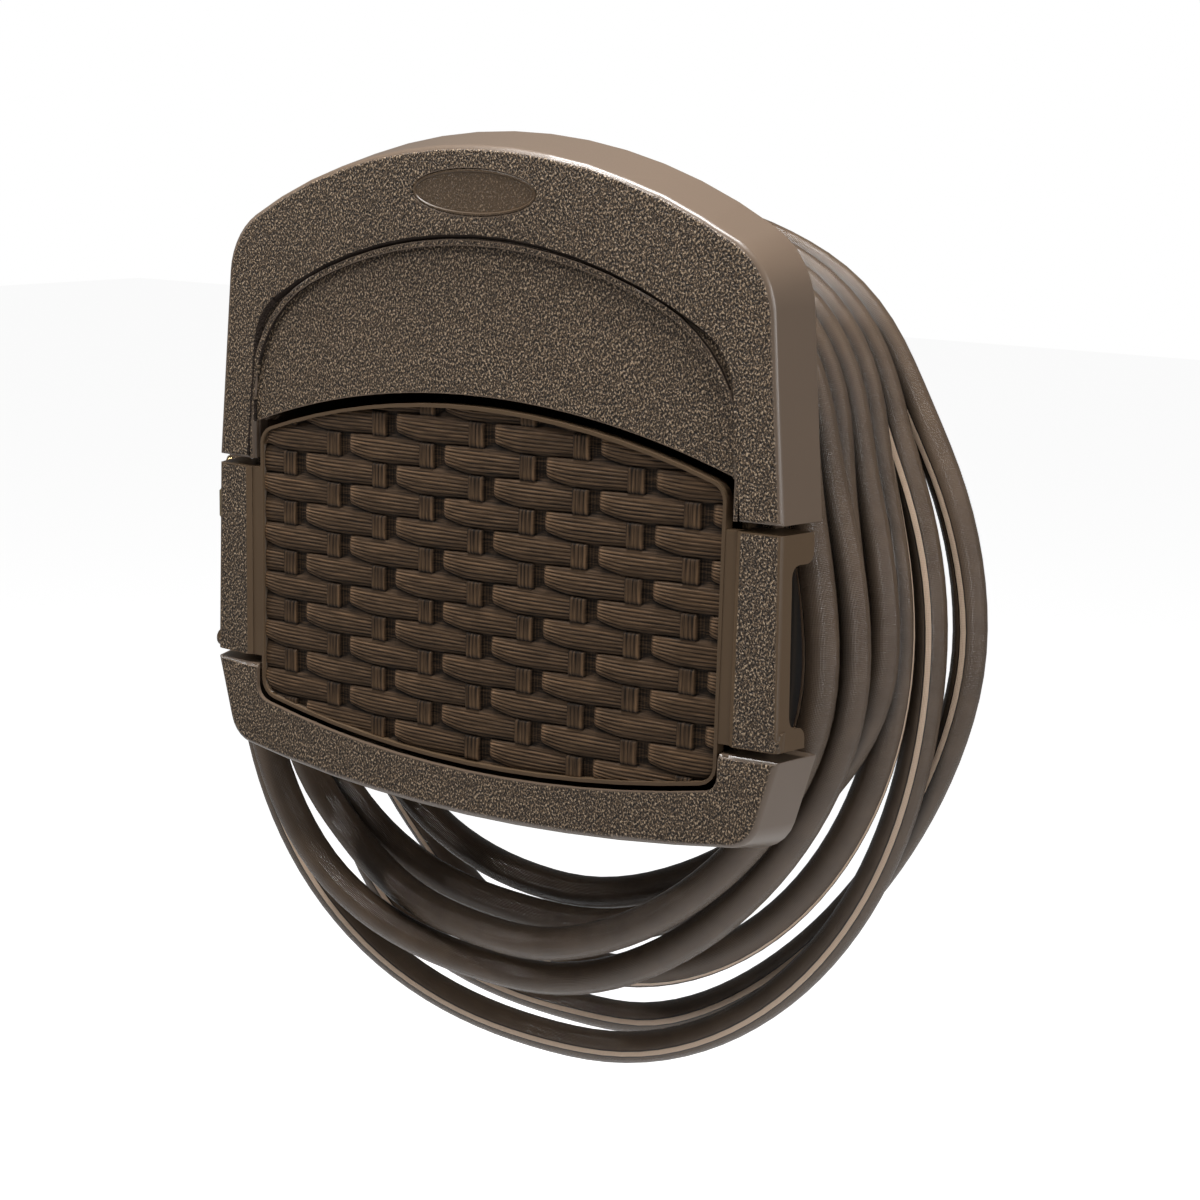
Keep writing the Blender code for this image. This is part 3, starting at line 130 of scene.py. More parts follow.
# Shape of one weft piece: a pocket beside the stake, rounded strand ends, then a nearly flat run
STRAND_STEPS = 3
WEFT_SHARES = (
    0.006, 0.04, 0.07, 0.10, 0.13, 0.16, 0.19, 0.22, 0.25, 0.28, 0.31, 0.34, 0.38, 0.50, 0.66,
    0.84, 0.96, 0.988,
)
WEAVE_SPOT = (0.0010, 0.0107)
WEAVE_HALF_HEIGHT = 0.1
EDGE_MARGIN = 0.0004
POCKET_END = 0.0056
POCKET_LINES = 0.0019
STRAND_END = 0.0034
STRAND_GROOVE = 0.0005
BAND_GROOVE = 0.0011
FAN_DROP = 0.26
FAN_RUN = 0.0210
POCKET_LIFT = -0.0022
WEFT_LIFT = 0.0008
WEFT_FALL = 0.0010
WEFT_BOW = 0.0004
BAND_DOME = 0.0009
STAKE_LIFT = 0.0006
STAKE_GROOVE = 0.0003
STAKE_ROUNDING = 0.0010
LIFT_LIMITS = (-0.0024, 0.0011)
# Where the painted glints on the tips of the strands are, past the pocket, and half their length
TIP_GLINT_SPOT, TIP_GLINT_HALF = 0.0030, 0.0035
# Painted light and shade of the weave, from 0 in its pockets' painted dark to about 1: parts of a
# strand, then of a stake
POCKET_SHADE, FRONT_SHADE, FAR_SHADE = 0.10, 0.84, 0.22
SIDE_SHADE, CREST_SHADE, GLINT_SHADE = 0.22, 0.62, 0.35
TIP_GLINT_SHADE, BAND_SHADE, THREAD_SHADE = 0.30, 0.10, 0.30
STAKE_SHADE, STAKE_FALL, STAKE_CREST, STAKE_EDGE = 0.24, 0.22, 0.36, 0.35

# Width of the smooth border beside the edges of the grained faces
SMOOTH_BORDER = 0.0013
# Tones of the resin: painted sheen on smooth faces, painted glints on the tips of the grain, and
# painted shadow on the arch's step
PAINTED_SHEEN_TONE = (0.18, 0.14, 0.115, 1.0)
PAINTED_GLINT_TONE = (0.42, 0.325, 0.225, 1.0)
STEP_SHADOW_TONE = (0.016, 0.0075, 0.003, 1.0)
# Painted shade where the hose's turns meet
GAP_SHADE_TONE = (0.004, 0.003, 0.002, 1.0)
COAT_SHARE = 1.8
# Share of the resin colour for the hidden pieces, darker as painted shade
HIDDEN_SHADE_SHARE = 0.8
# Diamonds of the braid round the hose, and how steeply they run along it
BRAID_TURNS = 36.0
BRAID_SLOPE = 0.9

# Bare oval pad on the hood
BADGE_Z = 0.2068
BADGE_HALF = (0.0392, 0.0123)
BADGE_SIDES = 64
BADGE_RECESS = ((0.0, 0.0009), (0.0, -0.0010))
BADGE_PAD = (
    (0.0005, 0.0009), (0.0005, 0.0004), (0.0009, 0.0001), (0.0017, 0.0001), (0.0022, 0.0006),
)

# Camera
CAMERA_SPOT = (0.6548, -1.0966, 0.2375)
CAMERA_RIGHT = (0.84477, 0.5345, 0.02606)
CAMERA_UP = (-0.13415, 0.16439, 0.97723)
CAMERA_LENS = 64.83
CAMERA_SENSOR = 36.0

# Lamps: name, place, where it aims, width and height, and watts
LAMPS = (
    ("lamp_above", (-0.05, -0.28, 1.75), (0.0, -0.10, 0.0), (1.1, 0.6), 60.0),
    ("lamp_key", (-0.35, -0.85, 1.25), (0.0, -0.1, 0.15), (0.20, 0.20), 11.0),
    ("lamp_left", (-1.60, -0.95, 0.50), (0.0, -0.1, -0.1), (0.14, 0.14), 5.0),
    ("lamp_right", (1.9, -0.35, 0.55), (0.05, -0.1, 0.0), (0.10, 1.2), 12.0),
    ("lamp_strip", (1.5, -0.85, 0.1), (0.1, -0.1, 0.0), (0.08, 1.2), 3.5),
)
FLOOR_HALF = 14.0
FLOOR_GLOW = 0.84


# Settings a user would change


class HangerResin(bpy.types.PropertyGroup):
    colour: FloatVectorProperty(
        name="Resin colour", description="Colour of the moulded hood and grips",
        subtype="COLOR", size=3, min=0.0, max=1.0, default=(0.110, 0.071, 0.041))
    panel_colour: FloatVectorProperty(
        name="Wicker colour", description="Colour of the woven panel",
        subtype="COLOR", size=3, min=0.0, max=1.0, default=(0.066, 0.039, 0.021))
    grain_size: FloatProperty(
        name="Grain size", description="Spacing of the moulded grain on the front faces",
        unit="LENGTH", min=0.0004, max=0.01, default=0.0018)
    grain_depth: FloatProperty(
        name="Grain depth", description="Depth of the moulded grain",
        unit="LENGTH", min=0.0, max=0.002, default=0.0006)


class HangerWeave(bpy.types.PropertyGroup):
    stake_pitch: FloatProperty(
        name="Stake pitch", description="Spacing of the upright stakes",
        unit="LENGTH", min=0.005, max=0.1, default=0.03248)
    stake_width: FloatProperty(
        name="Stake width", description="Width of one upright stake",
        unit="LENGTH", min=0.002, max=0.03, default=0.0094)
    band_pitch: FloatProperty(
        name="Band pitch", description="Height of one woven band",
        unit="LENGTH", min=0.005, max=0.05, default=0.01421)
    band_strands: IntProperty(
        name="Strands in a band", description="Strands side by side in one woven band",
        min=2, max=8, default=7)
    stake_strands: IntProperty(
        name="Strands in a stake", description="Strands side by side in one stake",
        min=2, max=6, default=4)


class HangerHose(bpy.types.PropertyGroup):
    colour: FloatVectorProperty(
        name="Hose colour", description="Colour of the vinyl",
        subtype="COLOR", size=3, min=0.0, max=1.0, default=(0.098, 0.067, 0.045))
    stripe_colour: FloatVectorProperty(
        name="Stripe colour", description="Colour of the pale stripe along the hose",
        subtype="COLOR", size=3, min=0.0, max=1.0, default=(0.66, 0.49, 0.36))
    stripe_width: FloatProperty(
        name="Stripe width", description="Width of the pale stripe",
        unit="LENGTH", min=0.0, max=0.02, default=0.0030)
    loop_points: IntProperty(
        name="Points per loop", description="Points along each loop of the hose",
        min=24, max=240, default=110)
    sides: IntProperty(
        name="Sides", description="Faces round the hose", min=8, max=48, default=26)


class HangerStage(bpy.types.PropertyGroup):
    floor_drop: FloatProperty(
        name="Floor height", description="Height of the floor under the hanger",
        unit="LENGTH", min=-3.0, max=0.0, default=-1.20)
    world_light: FloatProperty(
        name="World light", description="Strength of the light from all round",
        min=0.0, max=2.0, default=0.125)


# Shapes


def placed(name, data):
    """A new object in the scene."""
    made = bpy.data.objects.new(name, data)
    bpy.context.scene.collection.objects.link(made)
    return made


def mesh_from(bm, name):
    """A new mesh from an edited shape, which is then let go."""
    mesh = bpy.data.meshes.new(name)
    bm.to_mesh(mesh)
    bm.free()
    return mesh


def finished(bm, name, material, body, replaced=(), sharp=35.0):
    """A finished piece at the origin that rides on a body and may stand for solids."""
    mesh = mesh_from(bm, name)
    mesh.shade_smooth()
    mesh.set_sharp_from_angle(angle=math.radians(sharp))
    mesh.materials.append(material)
    piece = placed(name, mesh)
    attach(piece, body)
    if replaced:
        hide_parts(*replaced)
    return piece


def weighted(piece):
    """Shade flats flat and fillets round."""
    modifier = piece.modifiers.new("even_shading", "WEIGHTED_NORMAL")
    modifier.keep_sharp = True
    modifier.weight = 60
    return piece


def merged_copy(node):
    """The solid of a node as one joined mesh."""
    bm = bmesh.new()
    bm.from_mesh(NODES[node].data)
    bmesh.ops.remove_doubles(bm, verts=bm.verts, dist=1e-6)
    bmesh.ops.dissolve_limit(
        bm, angle_limit=math.radians(0.4), verts=bm.verts[:], edges=bm.edges[:],
        use_dissolve_boundaries=False, delimit=set(),
    )
    return bm


def badge_rings(profile):
    """A closed oval solid from (how far inside the badge's outline, depth) steps, outside in."""
    bm = bmesh.new()
    rings = []
    for inset, depth in profile:
        across, up = (half - inset for half in BADGE_HALF)
        ring = []
        for i in range(BADGE_SIDES):
            turn = math.tau * i / BADGE_SIDES
            x, z = across * math.sin(turn), BADGE_Z + up * math.cos(turn)
            ring.append(bm.verts.new((x, depth + float(sweep_shift(x, depth)) - DEPTH, z)))
        rings.append(ring)
    for ring, following in zip(rings, rings[1:]):
        for i in range(BADGE_SIDES):
            j = (i + 1) % BADGE_SIDES
            bm.faces.new((ring[i], ring[j], following[j], following[i]))
    for ring in (rings[0], rings[-1]):
        centre = bm.verts.new(sum((v.co for v in ring), Vector()) / BADGE_SIDES)
        for i in range(BADGE_SIDES):
            bm.faces.new((ring[i], ring[(i + 1) % BADGE_SIDES], centre))
    bmesh.ops.recalc_face_normals(bm, faces=bm.faces)
    return bm


def carved(bm, tool):
    """A solid with a tool cut out of it."""
    made = []
    for name, source in (("base", bm), ("tool", tool)):
        made.append(placed(name, mesh_from(source, name)))
    base, cutter = made
    modifier = base.modifiers.new("cut", "BOOLEAN")
    modifier.operation = "DIFFERENCE"
    modifier.object = cutter
    modifier.solver = "EXACT"
    shown = base.evaluated_get(bpy.context.evaluated_depsgraph_get())
    left = bmesh.new()
    left.from_mesh(bpy.data.meshes.new_from_object(shown))
    for item in made:
        bpy.data.objects.remove(item)
    return left


def marked(bm, name, test):
    """Mark the faces whose centre, depth and slope pass a test."""
    marks = bm.faces.layers.float.new(name)
    for face in bm.faces:
        spot = face.calc_center_median()
        depth = spot.y + DEPTH
        depth -= float(sweep_shift(spot.x, min(max(depth, 0.0), FRAME_DEPTH)))
        face[marks] = float(test(spot, depth, abs(face.normal.y) < STEEP_BELOW))
    return bm


def arch_step(spot, depth, steep):
    """The step down into the hood's sunk arch."""
    reach = math.hypot(spot.x, spot.z - ARCH_TOP + ARCH_TOP_RADIUS)
    within = abs(spot.x) < ARCH_FOOT_HALF + ARCH_STEP and reach < ARCH_TOP_RADIUS + ARCH_STEP
    level = STEP_TOP_TRIM < depth < ARCH_STEP - STEP_FOOT_TRIM
    return steep and within and level and spot.z > GRIP_TOP


def tray_face(spot, depth, steep):
    """The panel's rim and the strips beside it, which the mould leaves smooth."""
    return abs(spot.x) < HUB_HALF


def opening_tool():
    """A block with the outline of the door's opening in the hood, open at its foot."""
    bm = bmesh.new()
    ring = []
    radius = PANEL_TOP_RADIUS + OPENING_TOP
    for i in range(2 * OPENING_STEPS + 1):
        x = (i / OPENING_STEPS - 1) * OPENING_HALF
        top = PANEL_TOP - PANEL_TOP_RADIUS + math.sqrt(radius ** 2 - x ** 2)
        ring.append(bm.verts.new((x, -DEPTH - OPENING_LEAD, top)))
    for side in (1, -1):
        foot = GRIP_TOP - OPENING_FOOT
        ring.append(bm.verts.new((side * OPENING_HALF, -DEPTH - OPENING_LEAD, foot)))
    face = bm.faces.new(ring)
    block = bmesh.ops.extrude_face_region(bm, geom=[face])["geom"]
    moved = [v for v in block if isinstance(v, bmesh.types.BMVert)]
    bmesh.ops.translate(bm, vec=(0.0, OPENING_REACH, 0.0), verts=moved)
    bmesh.ops.recalc_face_normals(bm, faces=bm.faces)
    return bm


def mesh_points(mesh):
    """Places of a mesh's points, one row each."""
    points = np.zeros(len(mesh.vertices) * 3)
    mesh.vertices.foreach_get("co", points)
    return points.reshape(-1, 3)


def sweep_shift(x, depth):
    """How far the swept face lies back from its flat layout, strip by straight strip."""
    bow = FACE_SWEEP / FRAME_HIP_HALF ** 2
    share = np.abs(x) / SWEEP_STRIP
    low = np.floor(share)
    first, last = (SWEEP_STRIP * low) ** 2, (SWEEP_STRIP * (low + 1)) ** 2
    return bow * (first + (last - first) * (share - low)) * (1.0 - depth / FRAME_DEPTH)


# Route of the hose


def ease(value, window):
    """A smooth step from 0 to 1 across a window."""
    share = min(max((value - window[0]) / (window[1] - window[0]), 0.0), 1.0)
    return share * share * (3 - 2 * share)


def lane_depth(lane):
    """Depth of one of the side-by-side lanes that the hose fills on the hub."""
    return FRAME_DEPTH + HOSE_SIDE_GAP + HOSE_RADIUS + lane * HOSE_PITCH


def hub_reach(across, up, level):
    """Distance from a loop's centre to the hose's centreline where it would lie on the hub."""
    away = HOSE_RADIUS + HOSE_TOP_GAP
    crown = HUB_TOP - HUB_TOP_RADIUS
    shoulder_x = HUB_HALF - HUB_SHOULDER_RADIUS
    shoulder_z = crown + math.sqrt((HUB_TOP_RADIUS - HUB_SHOULDER_RADIUS) ** 2 - shoulder_x ** 2)

    def reach(x, z, radius):
        along = x * across + (z - level) * up
        return along + math.sqrt(max(along ** 2 - x ** 2 - (z - level) ** 2 + radius ** 2, 0.0))

    top = reach(0.0, crown, HUB_TOP_RADIUS + away)
    if top * across * (shoulder_z - crown) <= (top * up + level - crown) * shoulder_x:
        return top
    shoulder = reach(shoulder_x, shoulder_z, HUB_SHOULDER_RADIUS + away)
    if shoulder * up + level >= shoulder_z:
        return shoulder
    return (HUB_HALF + away) / across


def loop_point(turn, angle):
    """A point of the hose's centreline; the angle runs left, top, right, bottom."""
    last = len(HOSE_LANES) - 1
    across, up = -math.cos(angle), math.sin(angle)
    leftwards = across < 0
    side = turn if up >= 0 or not leftwards else (turn + 1) % len(HOSE_LANES)
    half = (HOSE_LEFT if leftwards else HOSE_RIGHT)[side]
    level = HOSE_LEVEL
    if leftwards and side == 0:
        level = JOINT_Z + math.copysign(JOINT_HALF + 2 * HOSE_RADIUS, up)
    if up >= 0:
        rise = HOSE_SPREAD * (HUB_TOP + HOSE_TOP_GAP + HOSE_RADIUS - level)
        free = 1 / math.hypot(across / half, up / rise)
        lying = hub_reach(abs(across), up, level)
        reach = (free ** HOSE_MERGE + lying ** HOSE_MERGE) ** (1 / HOSE_MERGE)
        x, z = across * reach, level + up * reach
    else:
        rounding = (HOSE_LEFT_ROUNDING if leftwards else HOSE_RIGHT_ROUNDING)[turn]
        x = math.copysign(half * abs(across) ** (2 / rounding), across)
        z = level - (HOSE_DROPS[turn] + level) * abs(up) ** (2 / rounding)
    depth = lane_depth(HOSE_LANES[turn])
    if turn == last and angle > math.pi:
        depth += (JOINT_DEPTH - depth) * ease(angle, END_SHIFT)
    elif turn == 0 and angle < math.pi:
        depth = JOINT_DEPTH + (depth - JOINT_DEPTH) * ease(angle, START_SHIFT)
    elif angle > math.pi:
        depth += (lane_depth(HOSE_LANES[turn + 1]) - depth) * ease(angle, LANE_SHIFT)
    return x, depth - DEPTH, z


def way_along(line):
    """Metres along a line to each of its points."""
    return np.concatenate([[0.0], np.cumsum(np.linalg.norm(np.diff(line, axis=0), axis=1))])


def hose_route(loop_points):
    """The whole centreline, evenly spaced, from one coupling round to the other."""
    spot = (-HOSE_LEFT[0], JOINT_DEPTH - DEPTH)
    high, low = JOINT_Z + JOINT_HALF, JOINT_Z - JOINT_HALF
    straight = 2 * HOSE_RADIUS
    line = [(*spot, high + straight * i / END_STEPS) for i in range(END_STEPS + 1)]
    for turn in range(len(HOSE_LANES)):
        for step in range(TURN_STEPS):
            line.append(loop_point(turn, math.tau * (step + 0.5) / TURN_STEPS))
    line += [(*spot, low - straight + straight * i / END_STEPS) for i in range(END_STEPS + 1)]
    line = np.array(line)
    along = way_along(line)
    stations = np.linspace(0.0, along[-1], loop_points * len(HOSE_LANES) + 1)
    route = np.stack([np.interp(stations, along, line[:, k]) for k in range(3)], axis=1)
    for _ in range(EASE_PASSES):
        route[1:-1] = 0.25 * route[:-2] + 0.5 * route[1:-1] + 0.25 * route[2:]
    return route


# Finishes


class Graph:
    """Adds nodes to a tree and wires them in one line each."""

    def __init__(self, tree):
        self.tree = tree

    def node(self, kind, values=None, **settings):
        made = self.tree.nodes.new(kind)
        for key, value in settings.items():
            setattr(made, key, value)
        self.feed(made, values or {})
        return made

    def feed(self, node, values):
        """Wires or sets the inputs of a node."""
        for key, value in values.items():
            if isinstance(value, bpy.types.NodeSocket):
                self.tree.links.new(value, node.inputs[key])
            else:
                node.inputs[key].default_value = value

    def math(self, operation, first, second=0.0, third=0.0):
        made = self.node("ShaderNodeMath", {0: first, 1: second, 2: third}, operation=operation)
        return made.outputs[0]

    def ramp(self, value, low, high, start=0.0, end=1.0):
        """A clamped straight ramp of a value from start to end."""
        made = self.node("ShaderNodeMapRange", {
            "Value": value, "From Min": low, "From Max": high, "To Min": start, "To Max": end})
        return made.outputs[0]

    def mix(self, share, first, second):
        """A blend of two colours."""
        made = self.node("ShaderNodeMix", {0: share, 6: first, 7: second}, data_type="RGBA")
        return made.outputs[2]

    def spread_noise(self, place, stretch, detail, roughness=0.5):
        """Noise drawn out by a stretch along each axis."""
        spread = self.node("ShaderNodeMapping", {"Vector": place, "Scale": stretch})
        return self.noise(spread.outputs[0], 1.0, detail, roughness)

    def noise(self, place, scale, detail, roughness=0.5):
        made = self.node("ShaderNodeTexNoise", {
            "Vector": place, "Scale": scale, "Detail": detail, "Roughness": roughness})
        return made.outputs["Fac"]

    def marks(self, name):
        """The value that the mesh carries under a name."""
        return self.node("ShaderNodeAttribute", attribute_name=name).outputs["Fac"]


def new_material(name, colour, roughness, metallic=0.0):
    made = bpy.data.materials.new(name)
    made.use_nodes = True
    graph, shader = Graph(made.node_tree), made.node_tree.nodes["Principled BSDF"]
    graph.feed(shader, {
        "Base Color": (*colour, 1.0), "Roughness": roughness, "Metallic": metallic})
    return made, graph, shader


def rgba(colour, gain=1.0):
    """A colour made lighter or darker, with full alpha."""
    return (*(min(c * gain, 1.0) for c in colour), 1.0)


def group_tree(name, inputs, outputs):
    """An empty node group with named float or colour sockets."""
    tree = bpy.data.node_groups.new(name, "ShaderNodeTree")
    for label, kind, value in inputs:
        socket = tree.interface.new_socket(label, in_out="INPUT", socket_type=kind)
        socket.default_value = value
    for label, kind in outputs:
        tree.interface.new_socket(label, in_out="OUTPUT", socket_type=kind)
    graph = Graph(tree)
    return tree, graph, graph.node("NodeGroupInput"), graph.node("NodeGroupOutput")


def grain_amount(g, place, given, smooth):
    """How strong the grain is: full on faces that look forward, none beside their edges."""
    facing = g.node("ShaderNodeSeparateXYZ", {0: place.outputs["Normal"]})
    front = g.ramp(g.math("MULTIPLY", facing.outputs["Y"], -1.0), 0.90, 0.97)
    geometry = g.node("ShaderNodeNewGeometry")
    eased = g.node("ShaderNodeBevel", {"Radius": SMOOTH_BORDER}, samples=6)
    level = g.node("ShaderNodeVectorMath", {
        0: eased.outputs[0], 1: geometry.outputs["Normal"]}, operation="DOT_PRODUCT")
    inland = g.ramp(level.outputs["Value"], 0.955, 0.985)
    amount = g.math("MULTIPLY", g.math("MULTIPLY", front, inland), given.outputs["Amount"])
    return g.math("MULTIPLY", amount, g.math("SUBTRACT", 1.0, smooth))


def pebble_dome(g, place, size):
    """Height of the grain's pebbles from 0 to 1, turned and drawn out a little."""
    spot = g.node("ShaderNodeSeparateXYZ", {0: place.outputs["Object"]})
    flat = g.node("ShaderNodeCombineXYZ", {0: spot.outputs["X"], 1: spot.outputs["Z"]})
    turned = g.node("ShaderNodeMapping", {
        "Vector": flat.outputs[0], "Rotation": (0.0, 0.0, math.radians(-35)),
        "Scale": (1.0, 0.72, 1.0)})
    pebbles = g.node("ShaderNodeTexNoise", {
        "Vector": turned.outputs[0], "Scale": g.math("DIVIDE", 1.9, size),
        "Detail": 1.2, "Roughness": 0.5, "Distortion": 0.4})
    return g.ramp(pebbles.outputs["Fac"], 0.32, 0.70)


def moulded_grain():
    """Pebbled grain of the mould, with painted shade in its matt pits, painted glints on its tips and a
    painted sheen where it is smooth.
    """
    name = "moulded_grain"
    if name in bpy.data.node_groups:
        return bpy.data.node_groups[name]
    tree, g, given, out = group_tree(
        name,
        [("Colour", "NodeSocketColor", (0.1, 0.1, 0.1, 1.0)), ("Size", "NodeSocketFloat", 0.0024),
         ("Amount", "NodeSocketFloat", 1.0), ("Sheen", "NodeSocketFloat", 0.35)],
        [("Colour", "NodeSocketColor"), ("Roughness", "NodeSocketFloat"),
         ("Height", "NodeSocketFloat"), ("Skin", "NodeSocketFloat")],
    )
    place = g.node("ShaderNodeTexCoord")
    smooth, step = g.marks("smooth"), g.marks("step")
    amount = grain_amount(g, place, given, smooth)
    dome = pebble_dome(g, place, given.outputs["Size"])
    fine = g.noise(place.outputs["Object"], 900.0, 2.0)
    broad = g.noise(place.outputs["Object"], 14.0, 3.0)
    tone = g.ramp(broad, 0.25, 0.75, 0.95, 1.06)
    # Painted shade in the pits and painted glints on the pebbles, as a factor on the colour
    painted_grain_light = g.math("POWER", 2.0, g.math("MULTIPLY_ADD", dome, 5.6, -3.45))
    depth = g.math("MULTIPLY_ADD", amount, g.math("SUBTRACT", painted_grain_light, 1.0), 1.0)
    shade = g.math("MULTIPLY", tone, depth)
    grey = g.node("ShaderNodeCombineXYZ", {0: shade, 1: shade, 2: shade}).outputs[0]
    tinted = g.node("ShaderNodeVectorMath", {
        0: given.outputs["Colour"], 1: grey}, operation="MULTIPLY").outputs[0]
    skin = g.math("MULTIPLY", g.math("SUBTRACT", 1.0, amount), g.math("SUBTRACT", 1.0, smooth))
    skin = g.math("MULTIPLY", skin, g.ramp(step, 0.0, 1.0, 1.0, 0.0))
    # Painted sheen: smooth faces lighter and greyer
    shown = g.mix(g.math("MULTIPLY", skin, given.outputs["Sheen"]), tinted, PAINTED_SHEEN_TONE)
    # Painted glints on the tips of the pebbles
    shown = g.mix(g.math("MULTIPLY", amount, g.ramp(dome, 0.66, 1.0, 0.0, 0.85)), shown, PAINTED_GLINT_TONE)
    # Painted shadow on the arch's step
    shown = g.mix(step, shown, STEP_SHADOW_TONE)
    matt = g.math("MULTIPLY_ADD", dome, -0.26, 0.34)
    rough = g.math("MULTIPLY_ADD", amount, matt, g.ramp(fine, 0.3, 0.7, 0.30, 0.36))
    rough = g.math("MAXIMUM", rough, g.ramp(step, 0.0, 1.0, 0.0, 0.85))
    height = g.math("MULTIPLY_ADD", dome, amount, g.math("MULTIPLY", fine, 0.02))
    coat = g.math("MULTIPLY", skin, g.math("MULTIPLY", given.outputs["Sheen"], COAT_SHARE))
    g.feed(out, {"Colour": shown, "Roughness": rough, "Height": height, "Skin": coat})
    return tree


def bump(g, shader, height, distance, strength=1.0):
    """Bump from a height, on the shader's normal."""
    made = g.node("ShaderNodeBump", {"Height": height, "Distance": distance, "Strength": strength})
    g.feed(shader, {"Normal": made.outputs[0]})


def resin(name, colour, amount=1.0, sheen=0.0):
    """Satin moulded resin, grained where it faces forward, with a painted sheen and a coat on its
    smooth faces.
    """
    if name in bpy.data.materials:
        return bpy.data.materials[name]
    settings = bpy.context.scene.hanger_resin
    made, g, shader = new_material(name, colour, 0.48)
    grain = g.node("ShaderNodeGroup", {
        "Colour": rgba(colour), "Size": settings.grain_size, "Amount": amount, "Sheen": sheen,
    }, node_tree=moulded_grain()).outputs
    g.feed(shader, {
        "Base Color": grain["Colour"], "Roughness": grain["Roughness"],
        "Coat Weight": grain["Skin"], "Coat Roughness": 0.30, "Specular IOR Level": 0.36})
    bump(g, shader, grain["Height"], settings.grain_depth)
    return made


def resin_colour(share=1.0):
    """The set resin colour, or a share of it."""
    return tuple(c * share for c in bpy.context.scene.hanger_resin.colour)


def hidden_shaded_resin():
    """The resin colour darkened for the hidden pieces as painted shade, with little grain."""
    return resin("shaded_moulded_resin", resin_colour(HIDDEN_SHADE_SHARE), 0.25)


def wicker_resin():
    """Moulded wicker coloured by the weave's painted shade: dark between the strands and in the
    pockets, painted highlights along their crests.
    """
    settings = bpy.context.scene.hanger_resin
    made, g, shader = new_material("wicker_resin", settings.panel_colour, 0.5)
    painted_weave_shade, upright = g.marks("painted_weave_shade"), g.marks("upright")
    place = g.node("ShaderNodeTexCoord").outputs["Object"]
    lying = g.spread_noise(place, (70.0, 60.0, 1300.0), 2.0, 0.55)
    standing = g.spread_noise(place, (1300.0, 60.0, 70.0), 2.0, 0.55)
    fibre = g.math("ADD", g.math("MULTIPLY", standing, upright),
                   g.math("MULTIPLY", lying, g.math("SUBTRACT", 1.0, upright)))
    crest = g.math("MULTIPLY_ADD", g.math("SUBTRACT", fibre, 0.5), 1.25, painted_weave_shade)
    # Painted shade and painted highlight copies of the wicker colour
    dark = rgba(settings.panel_colour, 0.12)
    plain = rgba(settings.panel_colour, 1.0)
    light = rgba(settings.panel_colour, 2.4)
    lower = g.mix(g.ramp(crest, 0.02, 0.55), dark, plain)
    colour = g.mix(g.ramp(crest, 0.60, 1.08), lower, light)
    rough = g.ramp(crest, 0.3, 1.0, 0.70, 0.42)
    g.feed(shader, {"Base Color": colour, "Roughness": rough, "Specular IOR Level": 0.16})
    bump(g, shader, fibre, 0.0004, 0.9)
    return made


def braid_height(g, u, v):
    """Diamonds of the braid under the vinyl, from 0 to 1, along the map of the hose."""
    waves = []
    for sign in (1.0, -1.0):
        slope = BRAID_TURNS / (math.tau * HOSE_RADIUS) * BRAID_SLOPE * sign
        run = g.math("MULTIPLY_ADD", v, slope, g.math("MULTIPLY", u, BRAID_TURNS))
        waves.append(g.math("SINE", g.math("MULTIPLY", run, math.tau)))
    return g.math("MULTIPLY_ADD", g.math("MULTIPLY", waves[0], waves[1]), 0.5, 0.5)


def hose_vinyl():
    """Soft vinyl over a braid, with a pale stripe that has thin dark edges, and painted shade where the
    turns meet.
    """
    settings = bpy.context.scene.hanger_hose
    made, g, shader = new_material("braided_vinyl", settings.colour, 0.28)
    girth = math.tau * HOSE_RADIUS
    around = g.node("ShaderNodeSeparateXYZ", {0: g.node("ShaderNodeUVMap", uv_map="run").outputs[0]})
    u, v = around.outputs["X"], around.outputs["Y"]
    off = g.math("MULTIPLY", g.math("ABSOLUTE", g.math("SUBTRACT", u, 0.5)), girth)
    half = settings.stripe_width / 2
    stripe = g.ramp(off, half - 0.0001, half + 0.0002, 1.0, 0.0)
    edge = g.ramp(off, half + 0.0007, half + 0.0010, 1.0, 0.0)
    braid = braid_height(g, u, v)
    groove = g.marks("groove")
    mottle = g.noise(g.node("ShaderNodeTexCoord").outputs["Object"], 55.0, 3.0)
    tone = g.mix(g.ramp(mottle, 0.3, 0.7), rgba(settings.colour, 0.88), rgba(settings.colour, 1.12))
    tone = g.mix(g.ramp(braid, 0.1, 0.9, 0.05, 0.0), tone, rgba(settings.colour, 0.4))
    tone = g.mix(edge, tone, rgba(settings.colour, 0.22))
    # Painted shade: the vinyl darkens where another turn is near
    tone = g.mix(g.ramp(groove, 0.1, 1.0, 0.96, 0.0), tone, GAP_SHADE_TONE)
    pale = rgba(settings.stripe_colour)
    stripe_tone = g.mix(g.ramp(braid, 0.2, 0.8), rgba(settings.stripe_colour, 0.80), pale)
    rough = g.math(
        "MAXIMUM", g.ramp(mottle, 0.3, 0.7, 0.13, 0.18), g.ramp(groove, 0.0, 0.35, 0.7, 0.0))
    shown = g.mix(stripe, tone, stripe_tone)
    g.feed(shader, {"Base Color": shown, "Roughness": rough, "Specular IOR Level": 0.5})
    bump(g, shader, braid, 0.00018)
    return made


